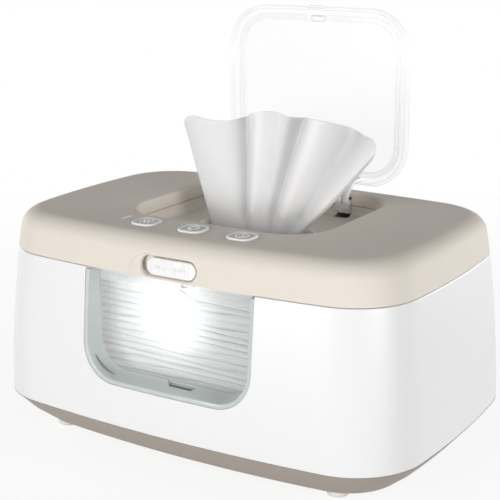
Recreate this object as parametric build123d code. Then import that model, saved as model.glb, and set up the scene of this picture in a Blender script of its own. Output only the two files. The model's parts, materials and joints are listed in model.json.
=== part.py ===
from build123d import *
from math import cos, pi, radians, sin, sqrt, tan
import os

# Baby wipe warmer. Millimetres, +Z up, front towards -Y, origin on the table under the middle
# of the body. The main cover is closed, the clear flip lid stands open.

# ---- Body form -------------------------------------------------------------------------
HALF_LENGTH = 120.0        # middle to end, at the widest line
HALF_DEPTH = 81.5          # middle to front, at the widest line
CORNER_R = 37.0            # plan corner radius at the widest line
CORNER_SHRINK = 0.6        # how much of an inset the corner radius loses
SIDE_BOW = 4.1             # how far the long sides bow out between the corners
END_BOW = 2.0              # the same for the ends
PAN_BOTTOM = 3.1
PAN_TOP = 19.6             # widest line, where pan and shell meet
PARTING = 96.5             # where the cover opens from the shell
TOP = 116.0                # flat deck of the cover
PAN_FLARE = 16.7           # how far the pan's floor lies inside the widest line
PAN_CURVE = 1.23
SHELL_DRAFT = 5.7          # how far the shell leans in on its way up
SHELL_CURVE = 1.6
COVER_DRAFT = 10.0         # degrees
SHOULDER_R = 9.6           # roll between the cover's side and its deck
WALL = 2.4
DECK = 2.4                 # thickness of the cover's deck
GAP = 0.3                  # free gap between pieces that move past each other
POST_SIDES = 10            # flats of a small post, boss or screw
FOOT_SIDES = 16
DISC_SIDES = 24

# ---- Base inside -----------------------------------------------------------------------
LEDGE_Z = 20.2             # underside of the shell's inner ledge
LEDGE_T = 2.2
TANK_HALF_X = 104.0        # tank inside
TANK_FRONT = -62.0
TANK_BACK = 60.0
TANK_FLOOR = 27.0          # top of the tank's floor
TANK_WALL = 2.0
TANK_R = 18.0
TANK_RIM = 93.4            # top of the tank's flange
STACK_HALF_X = 97.0
STACK_FRONT = -59.5
STACK_BACK = 50.5
STACK_TOP = 86.0
SEAL_PLAN = (107.5, 64.6, 22.5, 2.5)   # half sizes, corner radius and width of the cover's seal
SEAL_TOP = 95.9
LINER_Z = 95.4             # underside of the cover's liner
BOSS_X, BOSS_Y = 90.0, 50.0
FOOT_X, FOOT_Y = 81.0, 54.0
FOOT_R = 5.5

# ---- Window ----------------------------------------------------------------------------
WINDOW_HALF = 48.5         # opening in the shell
WINDOW_BOTTOM = 40.5
WINDOW_R = 19.0
PANE_FRONT = -67.0
PANE_T = 2.0
RIM_T = 2.3                # edge of the window insert, seen from the front
TUB_DRAFT = 5.3            # degrees
LIGHT_X, LIGHT_Z = -2.5, 80.0
JACK_AT = (40.0, 79.8, 31.0)   # middle of the inlet's face

# ---- Main hinge ------------------------------------------------------------------------
HINGE_Y, HINGE_Z = 76.3, PARTING
KNUCKLE_R = 3.0
HINGE_PIN_R = 1.25
HINGE_X = 58.0             # middle of each hinge
KNUCKLE_W = 14.0           # cover knuckle
EAR_W = 7.0                # shell knuckle on each side of it

# ---- Dispensing well and flip lid --------------------------------------------------------
WELL_HALF_X = 56.0
WELL_FRONT, WELL_BACK = -38.0, 59.0
WELL_R = 24.0
WELL_SEAM = 108.5          # lower edge of the cover's well wall
WELL_EDGE = 1.0            # bevel round the well's upper edge
TRAY_FLOOR = 103.0
TRAY_T = 2.0
MOUTH_X, MOUTH_Y = 64.0, 26.0
MOUTH_AT = (-2.0, 8.0)
LID_HALF_X = 54.6
LID_FRONT, LID_BACK = -37.0, 58.0
LID_R = 23.0
LID_SKIRT = 6.8            # depth of the lid's rim
LID_T = 1.9
LID_AXIS_Y, LID_AXIS_Z = 66.0, 110.0
ARM_R_IN, ARM_R_OUT = 9.2, 12.0
FINGER_X = ((19.5, 22.5), (23.5, 26.5))
POCKET_X = (18.3, 30.8)
POCKET_FRONT = 53.4
LID_PIN_R = 0.9

# ---- Buttons and latch -------------------------------------------------------------------
BUTTON_X = (-27.6, 0.0, 27.6)
BUTTON_Y = -51.5
BUTTON_SIZE = 13.6
BUTTON_R = 4.6
BUTTON_PROUD = 0.9
BUTTON_TRAVEL = 0.8
LIGHT_PIPE_AT = (-42.6, -48.0)
BOARD_TOP = 108.0
BOARD_T = 1.6
LATCH_Z = 102.5
LATCH_SLOT_X = (-15.0, 17.0)
LATCH_SLOT_H = 9.4
LATCH_FLOOR = -71.0
KNOB_X = (-11.0, 16.6)
KNOB_H = 8.2
LATCH_TRAVEL = 3.6
RIB_PITCH = 1.75


# ---- Small helpers -----------------------------------------------------------------------
def block(x, y, z):
    """Box between pairs of limits."""
    box = Box(x[1] - x[0], y[1] - y[0], z[1] - z[0], align=(Align.MIN,) * 3)
    return Pos(x[0], y[0], z[0]) * box


def slab(size_x, size_y, radius, z0, z1, at=(0.0, 0.0)):
    """Rounded rectangle standing between two heights."""
    return extrude(Pos(at[0], at[1], z0) * RectangleRounded(size_x, size_y, radius), z1 - z0)


def post(x, y, z0, z1, radius, sides=POST_SIDES):
    """Upright round post, boss or hole, drawn with flats."""
    return extrude(Pos(x, y, z0) * RegularPolygon(radius, sides), z1 - z0)


def rod_x(x0, x1, y, z, radius):
    """Cylinder lying along X."""
    rod = Cylinder(radius, x1 - x0, align=(Align.CENTER, Align.CENTER, Align.MIN))
    return Pos(x0, y, z) * Rot(0, 90, 0) * rod


def bar_x(x0, x1, y, z, radius, sides=POST_SIDES):
    """Thin rod or hole along X, drawn with flats."""
    return extrude(Pos(x0, y, z) * Rot(0, 90, 0) * RegularPolygon(radius, sides), x1 - x0)


def rod_y(x, z, y0, y1, radius):
    """Cylinder lying along Y."""
    rod = Cylinder(radius, y1 - y0, align=(Align.CENTER, Align.CENTER, Align.MIN))
    return Pos(x, y0, z) * Rot(-90, 0, 0) * rod


def plate_x(x0, x1, points):
    """Polygon drawn in the YZ plane and given a thickness along X."""
    face = make_face(Polyline([(0, y, z) for y, z in points], close=True))
    return extrude(Pos(x0, 0, 0) * face, x1 - x0, dir=(1, 0, 0))


def plate_y(y0, y1, sketch):
    """Sketch drawn as X and Z, extruded from y0 to y1."""
    return extrude(Pos(0, y0, 0) * Rot(90, 0, 0) * sketch, y1 - y0, dir=(0, 1, 0))


def both_sides(shape):
    """A shape and its mirror image across the middle."""
    return [shape, mirror(shape, about=Plane.YZ)]


# ---- Body outline and levels ---------------------------------------------------------------
def circle_crossing(c0, r0, c1, r1):
    """Crossing of two circles that lies furthest towards +X."""
    span = c1 - c0
    unit = span * (1 / span.length)
    along = (r0 ** 2 - r1 ** 2 + span.length ** 2) / (2 * span.length)
    across = Vector(unit.Y, -unit.X) * sqrt(r0 ** 2 - along ** 2)
    foot = c0 + unit * along
    return max((foot + across, foot - across), key=lambda point: point.X)


def outline(inset, z):
    """Plan outline at a height: four bowed sides and four tangent corner arcs."""
    a, b = HALF_LENGTH - inset, HALF_DEPTH - inset
    r = CORNER_R - CORNER_SHRINK * inset
    side_r = ((a - r) ** 2 + SIDE_BOW ** 2) / (2 * SIDE_BOW)
    end_r = ((b - r) ** 2 + END_BOW ** 2) / (2 * END_BOW)
    side_c, end_c = Vector(0, side_r - b), Vector(a - end_r, 0)
    centre = circle_crossing(side_c, side_r - r, end_c, end_r - r)
    start = side_c + (centre - side_c) * (side_r / (side_r - r))
    end = end_c + (centre - end_c) * (end_r / (end_r - r))
    middle = centre + ((start + end) * 0.5 - centre).normalized() * r
    arcs = []
    for sx, sy in ((1, 1), (1, -1), (-1, -1), (-1, 1)):
        arcs.append(ThreePointArc(*[(sx * p.X, sy * p.Y) for p in (start, middle, end)]))
    for s in (1, -1):
        arcs.append(ThreePointArc((-start.X, s * start.Y), (0, -s * b), (start.X, s * start.Y)))
        arcs.append(ThreePointArc((s * end.X, end.Y), (s * a, 0), (s * end.X, -end.Y)))
    return Pos(0, 0, z) * make_face(arcs)


def frame_slab(half_x, half_y, radius, width, z0, z1):
    """Rounded rectangular frame of an even width."""
    inner = slab(2 * (half_x - width), 2 * (half_y - width), radius - width, z0 - 1, z1 + 1)
    return slab(2 * half_x, 2 * half_y, radius, z0, z1) - inner


def pan_form(wall=0.0, bottom=PAN_BOTTOM, top=PAN_TOP, bands=1):
    """Flared pan; a wall thickness draws it in."""
    levels = []
    for i in range(bands + 1):
        z = bottom + (top - bottom) * i / bands
        part_way = (z - PAN_BOTTOM) / (PAN_TOP - PAN_BOTTOM)
        levels.append(outline(PAN_FLARE * max(1 - part_way, 0) ** PAN_CURVE + wall, z))
    return loft(levels, ruled=True)


def shell_form(wall=0.0, bottom=PAN_TOP, top=PARTING - GAP / 2, bands=2):
    """Upright shell that leans in more and more as it rises."""
    levels = []
    for i in range(bands + 1):
        z = bottom + (top - bottom) * i / bands
        part_way = (z - PAN_TOP) / (PARTING - PAN_TOP)
        levels.append(outline(SHELL_DRAFT * max(part_way, 0) ** SHELL_CURVE + wall, z))
    return loft(levels, ruled=True)


def cover_form(wall=0.0, deck=0.0, bands=2):
    """Cover block: drafted sides, then a shoulder rolled over into the flat deck in a few bands."""
    low, bend = PARTING + GAP / 2, TOP - deck - SHOULDER_R + wall
    inset = SHELL_DRAFT + wall
    levels = [outline(inset, low)]
    inset += (bend - low) * tan(radians(COVER_DRAFT))
    for i in range(bands + 1):
        angle = radians(COVER_DRAFT + (90 - COVER_DRAFT) * i / bands)
        roll = cos(radians(COVER_DRAFT)) - cos(angle)
        levels.append(outline(inset + (SHOULDER_R - wall) * roll, bend + (SHOULDER_R - wall) * sin(angle)))
    return loft(levels, ruled=True)


# ---- Base ----------------------------------------------------------------------------------
def boss_places():
    """Where the base screws stand."""
    return [(x, y) for x in (-BOSS_X, BOSS_X) for y in (-BOSS_Y, BOSS_Y)]


def make_base_pan():
    """Flared bottom tray with screw sleeves, foot seats, vents and stiffening ribs."""
    pan = pan_form(bands=2) - pan_form(WALL, PAN_BOTTOM + WALL, PAN_TOP + 0.5)
    for x in (-60, -30, 30, 60):
        pan += block((x - 0.8, x + 0.8), (-64, 64), (PAN_BOTTOM + WALL - 0.1, 8.0))
    for x, y in boss_places():
        pan += post(x, y, PAN_BOTTOM + 1, 12.0, 5.2)
        pan -= post(x, y, PAN_BOTTOM - 1, 9.5, 3.3) + post(x, y, 9, 13, 1.7)
    for x in (-FOOT_X, FOOT_X):
        for y in (-FOOT_Y, FOOT_Y):
            pan -= post(x, y, PAN_BOTTOM - 1, PAN_BOTTOM + 1.0, FOOT_R, FOOT_SIDES)
    for step in range(-3, 4):
        x = step * 7.0
        pan -= block((x - 1.5, x + 1.5), (-15, 15), (PAN_BOTTOM - 1, PAN_BOTTOM + WALL + 1))
    return pan


def make_foot(x, y):
    """Rubber foot with a bevelled lower edge, seated in the pan."""
    puck = post(x, y, 0, PAN_BOTTOM + 1.0, FOOT_R, FOOT_SIDES)
    return chamfer(puck.edges().group_by(Axis.Z)[0], 1.8, 1.3)


def window_sketch(half, bottom, radius, top):
    """U shape: open-topped window with rounded lower corners."""
    tall = Pos(0, (bottom + top) / 2) * Rectangle(2 * half, top - bottom)
    return fillet(tall.vertices().group_by(Axis.Y)[0], radius)


def shell_ear(x0, x1):
    """Rear hinge ear of the shell, webbed down to its wall."""
    web = [(HINGE_Y - 4.0, 95.9), (HINGE_Y - 2.9, 87.0), (HINGE_Y + 1.4, 94.0),
           (HINGE_Y + 2.9, 95.8), (HINGE_Y, HINGE_Z)]
    return plate_x(x0, x1, web) + rod_x(x0, x1, HINGE_Y, HINGE_Z, KNUCKLE_R)


def ear_spans():
    """X limits of the shell's hinge ears on the right-hand side."""
    inner = HINGE_X - KNUCKLE_W / 2 - GAP
    outer = HINGE_X + KNUCKLE_W / 2 + GAP
    return ((inner - EAR_W, inner), (outer, outer + EAR_W))


def locating_tabs():
    """Middles and half sizes of the tabs that centre the shell in the pan."""
    long_sides = [(x, y, 8.0, 0.8) for x in (-60.0, 60.0) for y in (-71.4, 71.4)]
    return long_sides + [(-110.4, 0.0, 0.8, 8.0), (110.4, 0.0, 0.8, 8.0)]


def make_outer_shell():
    """White outer wall with window cut-out, inner ledge, bosses, inlet hole and hinge ears."""
    shell = shell_form() - shell_form(WALL, PAN_TOP - 0.5, PARTING + 1)
    ledge = extrude(outline(WALL - 0.4, LEDGE_Z), LEDGE_T)
    shell += ledge - slab(172, 92, 20, LEDGE_Z - 1, LEDGE_Z + LEDGE_T + 1)
    for x, y, half_x, half_y in locating_tabs():
        shell += block((x - half_x, x + half_x), (y - half_y, y + half_y), (16.8, LEDGE_Z + 0.1))
    for x, y in boss_places():
        shell += post(x, y, 12.0, LEDGE_Z + 0.1, 4.2)
        shell += post(x, y, LEDGE_Z, LEDGE_Z + LEDGE_T, 7.0)
        shell -= post(x, y, 11, 18.2, 1.5)
    for x in (-95, -55, 55, 95):
        for y in (-58, 56):
            shell += block((x - 1, x + 1), (y - 5, y + 5), (LEDGE_Z + LEDGE_T - 0.1, TANK_FLOOR - TANK_WALL))
    cut = window_sketch(WINDOW_HALF, WINDOW_BOTTOM, WINDOW_R, PARTING + 4)
    shell -= plate_y(-90, -60, cut)
    for side in (1, -1):
        for x0, x1 in ear_spans():
            shell += shell_ear(min(side * x0, side * x1), max(side * x0, side * x1))
        middle = side * HINGE_X
        shell -= rod_x(middle - KNUCKLE_W / 2 - GAP, middle + KNUCKLE_W / 2 + GAP,
                       HINGE_Y, HINGE_Z, KNUCKLE_R + GAP)
        shell -= rod_x(middle - 20, middle + 20, HINGE_Y, HINGE_Z, HINGE_PIN_R)
    x, y, z = JACK_AT
    shell -= rod_y(x, z, y - 10, y + 5, 4.9)
    return shell


def make_window_insert():
    """Clear tub behind the window: a thin rim, drafted side walls, the pane and its catch tab."""
    top = PARTING - 1.5
    outer = window_sketch(WINDOW_HALF, WINDOW_BOTTOM, WINDOW_R, top)
    tub = plate_y(-90, PANE_FRONT + PANE_T, outer) & shell_form(GAP, PAN_TOP, PARTING)
    mouth = window_sketch(WINDOW_HALF - RIM_T, WINDOW_BOTTOM + RIM_T, WINDOW_R - RIM_T, top + 5)
    tub -= Pos(0, -84, 0) * Rot(-90, 0, 0) * extrude(mirror(mouth, about=Plane.XZ), 84 + PANE_FRONT, taper=TUB_DRAFT)
    slot = block((-4.5, 12.0), (PANE_FRONT - 4.0, PANE_FRONT), (WINDOW_BOTTOM - 1, WINDOW_BOTTOM + 6))
    tub -= slot
    return tub + block((5.0, 13.5), (PANE_FRONT - 3.6, PANE_FRONT + 0.2), (92.9, 94.7))


def make_inner_tank():
    """Wipe tub: drafted box with a flange and an opening behind the pane."""
    x, y0, y1 = TANK_HALF_X, TANK_FRONT, TANK_BACK
    centre = (0, (y0 + y1) / 2)
    t = TANK_WALL
    depth = y1 - y0
    tank = slab(2 * (x + t), depth + 2 * t, TANK_R + t, TANK_FLOOR - t, TANK_RIM, centre)
    flange = extrude(outline(SHELL_DRAFT + WALL + 0.5, TANK_RIM - 2), 2)
    flange -= block((-WINDOW_HALF - 1.5, WINDOW_HALF + 1.5), (-90, -64.9), (80, 100))
    tank += flange
    tank -= slab(2 * x, depth, TANK_R, TANK_FLOOR, TANK_RIM + 5, centre)
    hole = window_sketch(WINDOW_HALF - 5, WINDOW_BOTTOM + 4, WINDOW_R - 5, 90.2)
    tank -= plate_y(-70, -55, hole)
    for step in range(-5, 6):
        tank += block((step * 17 - 0.8, step * 17 + 0.8), (-50, 48), (TANK_FLOOR - 0.1, TANK_FLOOR + 1.0))
    return tank


def make_wipe_stack():
    """Stack of folded wipes, soft corners."""
    depth = STACK_BACK - STACK_FRONT
    stack = slab(2 * STACK_HALF_X, depth, 5, TANK_FLOOR + 1.0, STACK_TOP, (0, STACK_FRONT + depth / 2))
    return chamfer(stack.edges().group_by(Axis.Z)[-1], 1.5)


def make_heater():
    """Aluminium spreader plate and the silicone heating mat under it."""
    under = TANK_FLOOR - TANK_WALL
    plate = block((-82, 82), (-44, 44), (under - 1.5, under))
    mat = block((-74, 74), (-38, 38), (under - 2.6, under - 1.5))
    track = Part()
    for step in range(-5, 6):
        y = step * 6.4
        track += block((-64, 64), (y - 0.8, y + 0.8), (under - 3.0, under - 2.6))
    return plate, mat + track


def make_thermal_cutoff():
    """Round bimetal cut-out with two terminal blades, clipped under the heating mat."""
    body = post(30, 3.2, 14.4, 22.0, 6.5) + post(30, 3.2, 12.6, 14.4, 4.5)
    for x in (27.4, 31.8):
        body += block((x, x + 0.8), (0.7, 5.7), (8.4, 12.7))
    return body


def make_power_board():
    """Supply board: bare board, then its parts as a second node."""
    board = block((34, 90), (9, 43), (12.0, 13.4))
    parts = [post(44, 18, 13.4, 17.6, 4), post(54, 18, 13.4, 17.6, 3.2),
             block((61, 75), (27, 37), (13.4, 18.0)), block((77, 87), (14, 22), (13.4, 17.0))]
    return board, Compound(parts)


def make_dc_jack():
    """Barrel inlet set in the rear wall, then its centre pin as a second node."""
    x, y, z = JACK_AT
    body = block((x - 6.5, x + 6.5), (y - 12, y - 3.2), (z - 6.5, z + 6.5))
    body += rod_y(x, z, y - 3.4, y, 4.8)
    bore_end = y - 9.2
    return body - rod_y(x, z, bore_end, y + 1, 2.85), rod_y(x, z, bore_end, y - 0.5, 1.05)


def make_night_light():
    """LED board and its diffuser disc behind the pane."""
    back = PANE_FRONT + PANE_T
    lens = plate_y(back, back + 2.0, Pos(LIGHT_X, LIGHT_Z) * RegularPolygon(9.5, DISC_SIDES))
    board = plate_y(back + 2.0, back + 3.0, Pos(LIGHT_X, LIGHT_Z) * RegularPolygon(9.0, DISC_SIDES))
    for x in (LIGHT_X - 4, LIGHT_X, LIGHT_X + 4):
        board += block((x - 1.2, x + 1.2), (back + 2.9, back + 3.7), (LIGHT_Z - 1.2, LIGHT_Z + 1.2))
    return lens, board


def make_hinge_pins():
    """Steel rods of the two rear hinges."""
    pins = []
    for side in (1, -1):
        middle = side * HINGE_X
        half = KNUCKLE_W / 2 + GAP + EAR_W - 0.5
        pins.append(rod_x(middle - half, middle + half, HINGE_Y, HINGE_Z, HINGE_PIN_R))
    return Compound(pins)


# ---- Cover ---------------------------------------------------------------------------------
def liner_posts():
    """Where the liner is screwed to the cover."""
    return [(x, y) for x in (-90, 90) for y in (-42, 42)]


def tray_posts():
    """Where the dispensing tray is screwed to the cover."""
    return [(x, y) for x in (-61.5, 61.5) for y in (-14, 34)]


def board_posts():
    """Where the control board is screwed to the cover."""
    return [(-49, -52.5), (49, -52.5)]


def latch_sketch(x0, x1, height):
    """Pill drawn in X and Z on the latch's height."""
    return Pos((x0 + x1) / 2, LATCH_Z) * SlotOverall(x1 - x0, height)


def cover_knuckle(x0, x1):
    """Rear hinge knuckle of the cover, webbed up to its wall."""
    web = [(HINGE_Y - 4.2, 97.2), (HINGE_Y - 5.0, 104.0), (HINGE_Y + 0.7, 99.4),
           (HINGE_Y + 2.8, 97.5), (HINGE_Y, HINGE_Z)]
    knuckle = plate_x(x0, x1, web) + rod_x(x0, x1, HINGE_Y, HINGE_Z, KNUCKLE_R)
    return knuckle - rod_x(x0 - 1, x1 + 1, HINGE_Y, HINGE_Z, HINGE_PIN_R + 0.06)


def well(grow, z0, z1):
    """Block of the dispensing well's plan, grown all round."""
    middle = (WELL_FRONT + WELL_BACK) / 2
    depth = WELL_BACK - WELL_FRONT + 2 * grow
    return slab(2 * (WELL_HALF_X + grow), depth, WELL_R + grow, z0, z1, (0, middle))


def button_hole(x, grow, z0, z1):
    """Soft square prism on a button's place."""
    size = BUTTON_SIZE + 2 * grow
    return slab(size, size, BUTTON_R + grow, z0, z1, (x, BUTTON_Y))


def make_cover():
    """Beige cover: rounded shoulder, flip-lid well, button holes, latch pocket, hinge knuckles."""
    under_deck = TOP - DECK
    cover = cover_form(bands=3) - cover_form(WALL, DECK)
    inside = []
    inside.append(well(2.0, WELL_SEAM, under_deck + 0.5))
    for x, y in liner_posts():
        inside.append(post(x, y, 97.0, under_deck + 0.5, 3.6))
    for x, y in tray_posts():
        inside.append(post(x, y, 108.1, under_deck + 0.5, 2.9))
    for x, y in board_posts():
        inside.append(post(x, y, BOARD_TOP, under_deck + 0.5, 2.8))
    for x in (POCKET_X[0] - 1.4, POCKET_X[1]):
        inside += both_sides(block((x, x + 1.4), (WELL_BACK + 0.5, 73), (99.0, under_deck + 0.5)))
    inside.append(plate_y(LATCH_FLOOR - 3, LATCH_FLOOR + 1.5,
                          latch_sketch(LATCH_SLOT_X[0] - 1.3, LATCH_SLOT_X[1] + 1.3, LATCH_SLOT_H + 2.4)))
    stop_y = (LATCH_FLOOR - 1.5, LATCH_FLOOR + 5.2)
    inside.append(block((-18.4, -16.8), stop_y, (LATCH_Z - 3, under_deck + 0.5)))
    stiff = Part()
    for piece in inside:
        stiff += piece
    cover += stiff & cover_form(0.5, 0.5)
    cover -= well(0, WELL_SEAM - 1, TOP + 1)
    rim = [e for e in cover.edges().filter_by_position(Axis.Z, TOP - 0.01, TOP + 0.01)
           if abs(e.center().X) < WELL_HALF_X + 1 and WELL_FRONT - 1 < e.center().Y < WELL_BACK + 1]
    cover = chamfer(rim, WELL_EDGE)
    for pocket in both_sides(block(POCKET_X, (WELL_BACK - 1, WELL_BACK + 2.5), (98, under_deck))):
        cover -= pocket
    for pin in both_sides(bar_x(POCKET_X[0] - 1.5, POCKET_X[1] + 1.5, LID_AXIS_Y, LID_AXIS_Z, LID_PIN_R)):
        cover -= pin
    for x in BUTTON_X:
        cover -= button_hole(x, GAP, under_deck - 1, TOP + 1)
    x, y = LIGHT_PIPE_AT
    cover -= Pos(x, y, under_deck - 1) * extrude(Rot(0, 0, 90) * SlotOverall(8.4, 1.9), 5)
    cover -= plate_y(-90, LATCH_FLOOR, latch_sketch(*LATCH_SLOT_X, LATCH_SLOT_H))
    cover -= block((-11.4, 9.4), (LATCH_FLOOR - 0.1, LATCH_FLOOR + 2), (LATCH_Z - 1.9, LATCH_Z + 1.9))
    for x, y in liner_posts():
        cover -= post(x, y, 96, 106, 1.3)
    for x, y in tray_posts() + board_posts():
        cover -= post(x, y, 107, 112.6, 1.0)
    cover -= block((-6.4, 6.4), (WELL_FRONT - 1.0, WELL_FRONT + 0.5), (109.4, 112.4))
    for side in (1, -1):
        middle = side * HINGE_X
        for x0, x1 in ear_spans():
            low, high = min(side * x0, side * x1), max(side * x0, side * x1)
            cover -= rod_x(low - GAP, high + GAP, HINGE_Y, HINGE_Z, KNUCKLE_R + GAP)
        cover += cover_knuckle(middle - KNUCKLE_W / 2, middle + KNUCKLE_W / 2)
    return cover


def make_dispensing_tray():
    """Lower wall of the well with its screw ears, then the plate with the mouth
    and the short rear wall between the arm clearances."""
    t, top = TRAY_T, WELL_SEAM - 0.4
    tray = well(t, TRAY_FLOOR - t, top)
    for x, y in tray_posts():
        tray += post(x, y, top - 1.8, top, 4.0)
    tray -= well(0, TRAY_FLOOR - t - 1, top + 1)
    plate = well(0, TRAY_FLOOR - t, TRAY_FLOOR)
    plate += slab(MOUTH_X + 5, MOUTH_Y + 5, MOUTH_Y / 2 + 2.4, TRAY_FLOOR - t, TRAY_FLOOR + 1.0, MOUTH_AT)
    plate -= slab(MOUTH_X, MOUTH_Y, MOUTH_Y / 2 - 0.1, TRAY_FLOOR - t - 1, TRAY_FLOOR + 2, MOUTH_AT)
    pocket = (POCKET_X[0] - 1.7, POCKET_X[1] + 1.7)
    for gap in both_sides(block(pocket, (POCKET_FRONT - 0.3, 80), (95, 112))):
        tray -= gap
        plate -= gap
    between = block((-pocket[0], pocket[0]), (POCKET_FRONT, 80), (95, 112))
    plate += tray & between
    tray -= between
    for x, y in tray_posts():
        tray -= post(x, y, top - 3, top + 1, 1.4)
    return tray, plate


def make_mouth_seal():
    """Silicone diaphragm with a slit and cross cuts."""
    z1 = TRAY_FLOOR - TRAY_T
    seal = slab(MOUTH_X + 8, MOUTH_Y + 8, 14, z1 - 1.2, z1, MOUTH_AT)
    x, y = MOUTH_AT
    seal -= block((x - 27, x + 27), (y - 0.4, y + 0.4), (z1 - 3, z1 + 1))
    for step in (-16, 0, 16):
        seal -= block((x + step - 0.4, x + step + 0.4), (y - 8, y + 8), (z1 - 3, z1 + 1))
    return seal


def make_cover_liner():
    """Plate that closes the cover from below, with a seal groove and a hole for the wipes."""
    liner = extrude(outline(SHELL_DRAFT + WALL + 0.9, LINER_Z), 1.6)
    liner -= slab(MOUTH_X + 14, MOUTH_Y + 14, 19, 90, 100, MOUTH_AT)
    liner -= frame_slab(*SEAL_PLAN, LINER_Z - 1, SEAL_TOP)
    liner -= block((-20, 20), (-90, LATCH_FLOOR + 5.6), (90, 100))
    for x, y in liner_posts():
        liner -= post(x, y, 90, 100, 1.7)
    return liner


def make_cover_seal():
    """Silicone ring that closes on the tank's flange."""
    return frame_slab(*SEAL_PLAN, TANK_RIM + GAP, SEAL_TOP)


def screw_up(x, y, head_z, seat_z, tip_z, head_r, shank_r):
    """Screw driven upwards, head below and shank above the seat."""
    return post(x, y, head_z, seat_z, head_r) + post(x, y, seat_z, tip_z, shank_r)


def make_screws(places, *sizes):
    """Group of equal screws."""
    return Compound([screw_up(x, y, *sizes) for x, y in places])


def make_control_board():
    """Board under the buttons."""
    board = block((-53, 53), (-60.7, -44.3), (BOARD_TOP - BOARD_T, BOARD_TOP))
    for x, y in board_posts():
        board -= post(x, y, 100, 112, 1.3)
    return board


def make_tact_switches():
    """Three tactile switches on the board."""
    switches = []
    for x in BUTTON_X:
        body = block((x - 3, x + 3), (BUTTON_Y - 3, BUTTON_Y + 3), (BOARD_TOP, BOARD_TOP + 2.4))
        switches.append(body + post(x, BUTTON_Y, BOARD_TOP + 2.4, BOARD_TOP + 3.0, 1.7))
    return Compound(switches)


def make_light_pipe():
    """Thin indicator bar that shows through the deck."""
    x, y = LIGHT_PIPE_AT
    bar = Rot(0, 0, 90) * SlotOverall(8.3, 1.8)
    return Pos(x, y, BOARD_TOP + 0.6) * extrude(bar, TOP + 0.15 - BOARD_TOP - 0.6)


def make_button(x):
    """Soft square cap with a bevelled edge, a retaining flange and a stem."""
    under_deck = TOP - DECK
    cap = button_hole(x, 0, under_deck - 0.5, TOP + BUTTON_PROUD)
    cap = chamfer(cap.edges().group_by(Axis.Z)[-1], 0.4)
    y, reach = BUTTON_Y, BUTTON_SIZE / 2 + 1.1
    cap += block((x - reach, x + reach), (y - reach, y + reach), (under_deck - GAP - 1.0, under_deck - GAP))
    return cap + block((x - 2, x + 2), (y - 2, y + 2), (BOARD_TOP + 4.1, under_deck - 1.2))


# ---- Slide latch -----------------------------------------------------------------------------
def shoulder_prism(x, proud):
    """Straight prism behind the cover's front face, as seen from the end."""
    front = SHELL_DRAFT - HALF_DEPTH - proud
    lean = tan(radians(COVER_DRAFT))
    low, bend, high = PARTING, TOP - SHOULDER_R, LATCH_Z + 6
    points = [(-65, low), (front, low), (front + (bend - low) * lean, bend),
              (front + (bend - low) * lean + 0.6, high), (-65, high)]
    return plate_x(x[0], x[1], points)


def make_latch_knob():
    """Pill-shaped thumb piece whose face follows the cover's shoulder, with upright ribs."""
    pill = plate_y(-90, LATCH_FLOOR - GAP, latch_sketch(*KNOB_X, KNOB_H))
    knob = pill & shoulder_prism(KNOB_X, 0.0)
    middle = (KNOB_X[0] + KNOB_X[1]) / 2
    ribs = shoulder_prism(KNOB_X, 0.5) & block(KNOB_X, (-90, -74), (LATCH_Z - 3.3, LATCH_Z + 3.3))
    for step in range(-6, 7):
        x = middle + step * RIB_PITCH
        knob += ribs & block((x - 0.5, x + 0.5), (-90, -70), (90, 110))
    stem = block((-4.6, 4.6), (LATCH_FLOOR - 1, LATCH_FLOOR + 2.2), (LATCH_Z - 1.5, LATCH_Z + 1.5))
    return knob + Pos(2.8, 0, 0) * stem


def make_latch_hook():
    """Slide behind the pocket with a wedge-nosed hook that catches under the window's tab."""
    y0, y1 = LATCH_FLOOR + 1.9, LATCH_FLOOR + 3.7
    slide = block((-8, 13), (y0, y1), (LATCH_Z - 3.6, LATCH_Z + 3.6))
    nose = make_face(Polyline([(-0.6, LATCH_Z - 3), (-0.6, 92.0), (1.4, 89.8), (7.4, 92.5),
                               (4.6, 92.5), (4.6, LATCH_Z - 3)], close=True))
    slide += plate_y(y0, y1, nose)
    return slide - block((-1.9, 7.5), (y0 - 1, y1 + 1), (LATCH_Z - 1.55, LATCH_Z + 1.55))


def coil(radius, wire, pitch, turns, steps=6):
    """Wire wound on a cylinder along Z, in short straight runs."""
    points = []
    for i in range(int(turns * steps) + 1):
        turn = 2 * pi * i / steps
        points.append((radius * cos(turn), radius * sin(turn), pitch * i / steps))
    path = Polyline(points)
    section = Plane(origin=path @ 0, z_dir=path % 0) * RegularPolygon(wire / 2, 4)
    return sweep(section, path=path, transition=Transition.RIGHT)


def make_latch_spring():
    """Return spring that pushes the slide back to its locked end."""
    spring = coil(1.5, 0.45, 1.3, 6)
    return Pos(-16.4, LATCH_FLOOR + 3.5, LATCH_Z) * Rot(0, 90, 0) * spring


# ---- Flip lid ---------------------------------------------------------------------------------
def opened(shape):
    """Turn a piece of the closed flip lid to its open place."""
    return shape.rotate(Axis((0, LID_AXIS_Y, LID_AXIS_Z), (1, 0, 0)), -90)


def lid_plan(inset, z0, z1):
    """Block of the flip lid's plan, drawn in all round."""
    middle = (LID_FRONT + LID_BACK) / 2
    length = LID_BACK - LID_FRONT - 2 * inset
    return slab(2 * (LID_HALF_X - inset), length, LID_R - inset, z0, z1, (0, middle))


def about_lid_axis(radius, angles):
    """Points in Y and Z round the flip lid's axis, angles in degrees from +Y."""
    return [(LID_AXIS_Y + radius * cos(radians(a)), LID_AXIS_Z + radius * sin(radians(a))) for a in angles]


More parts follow.
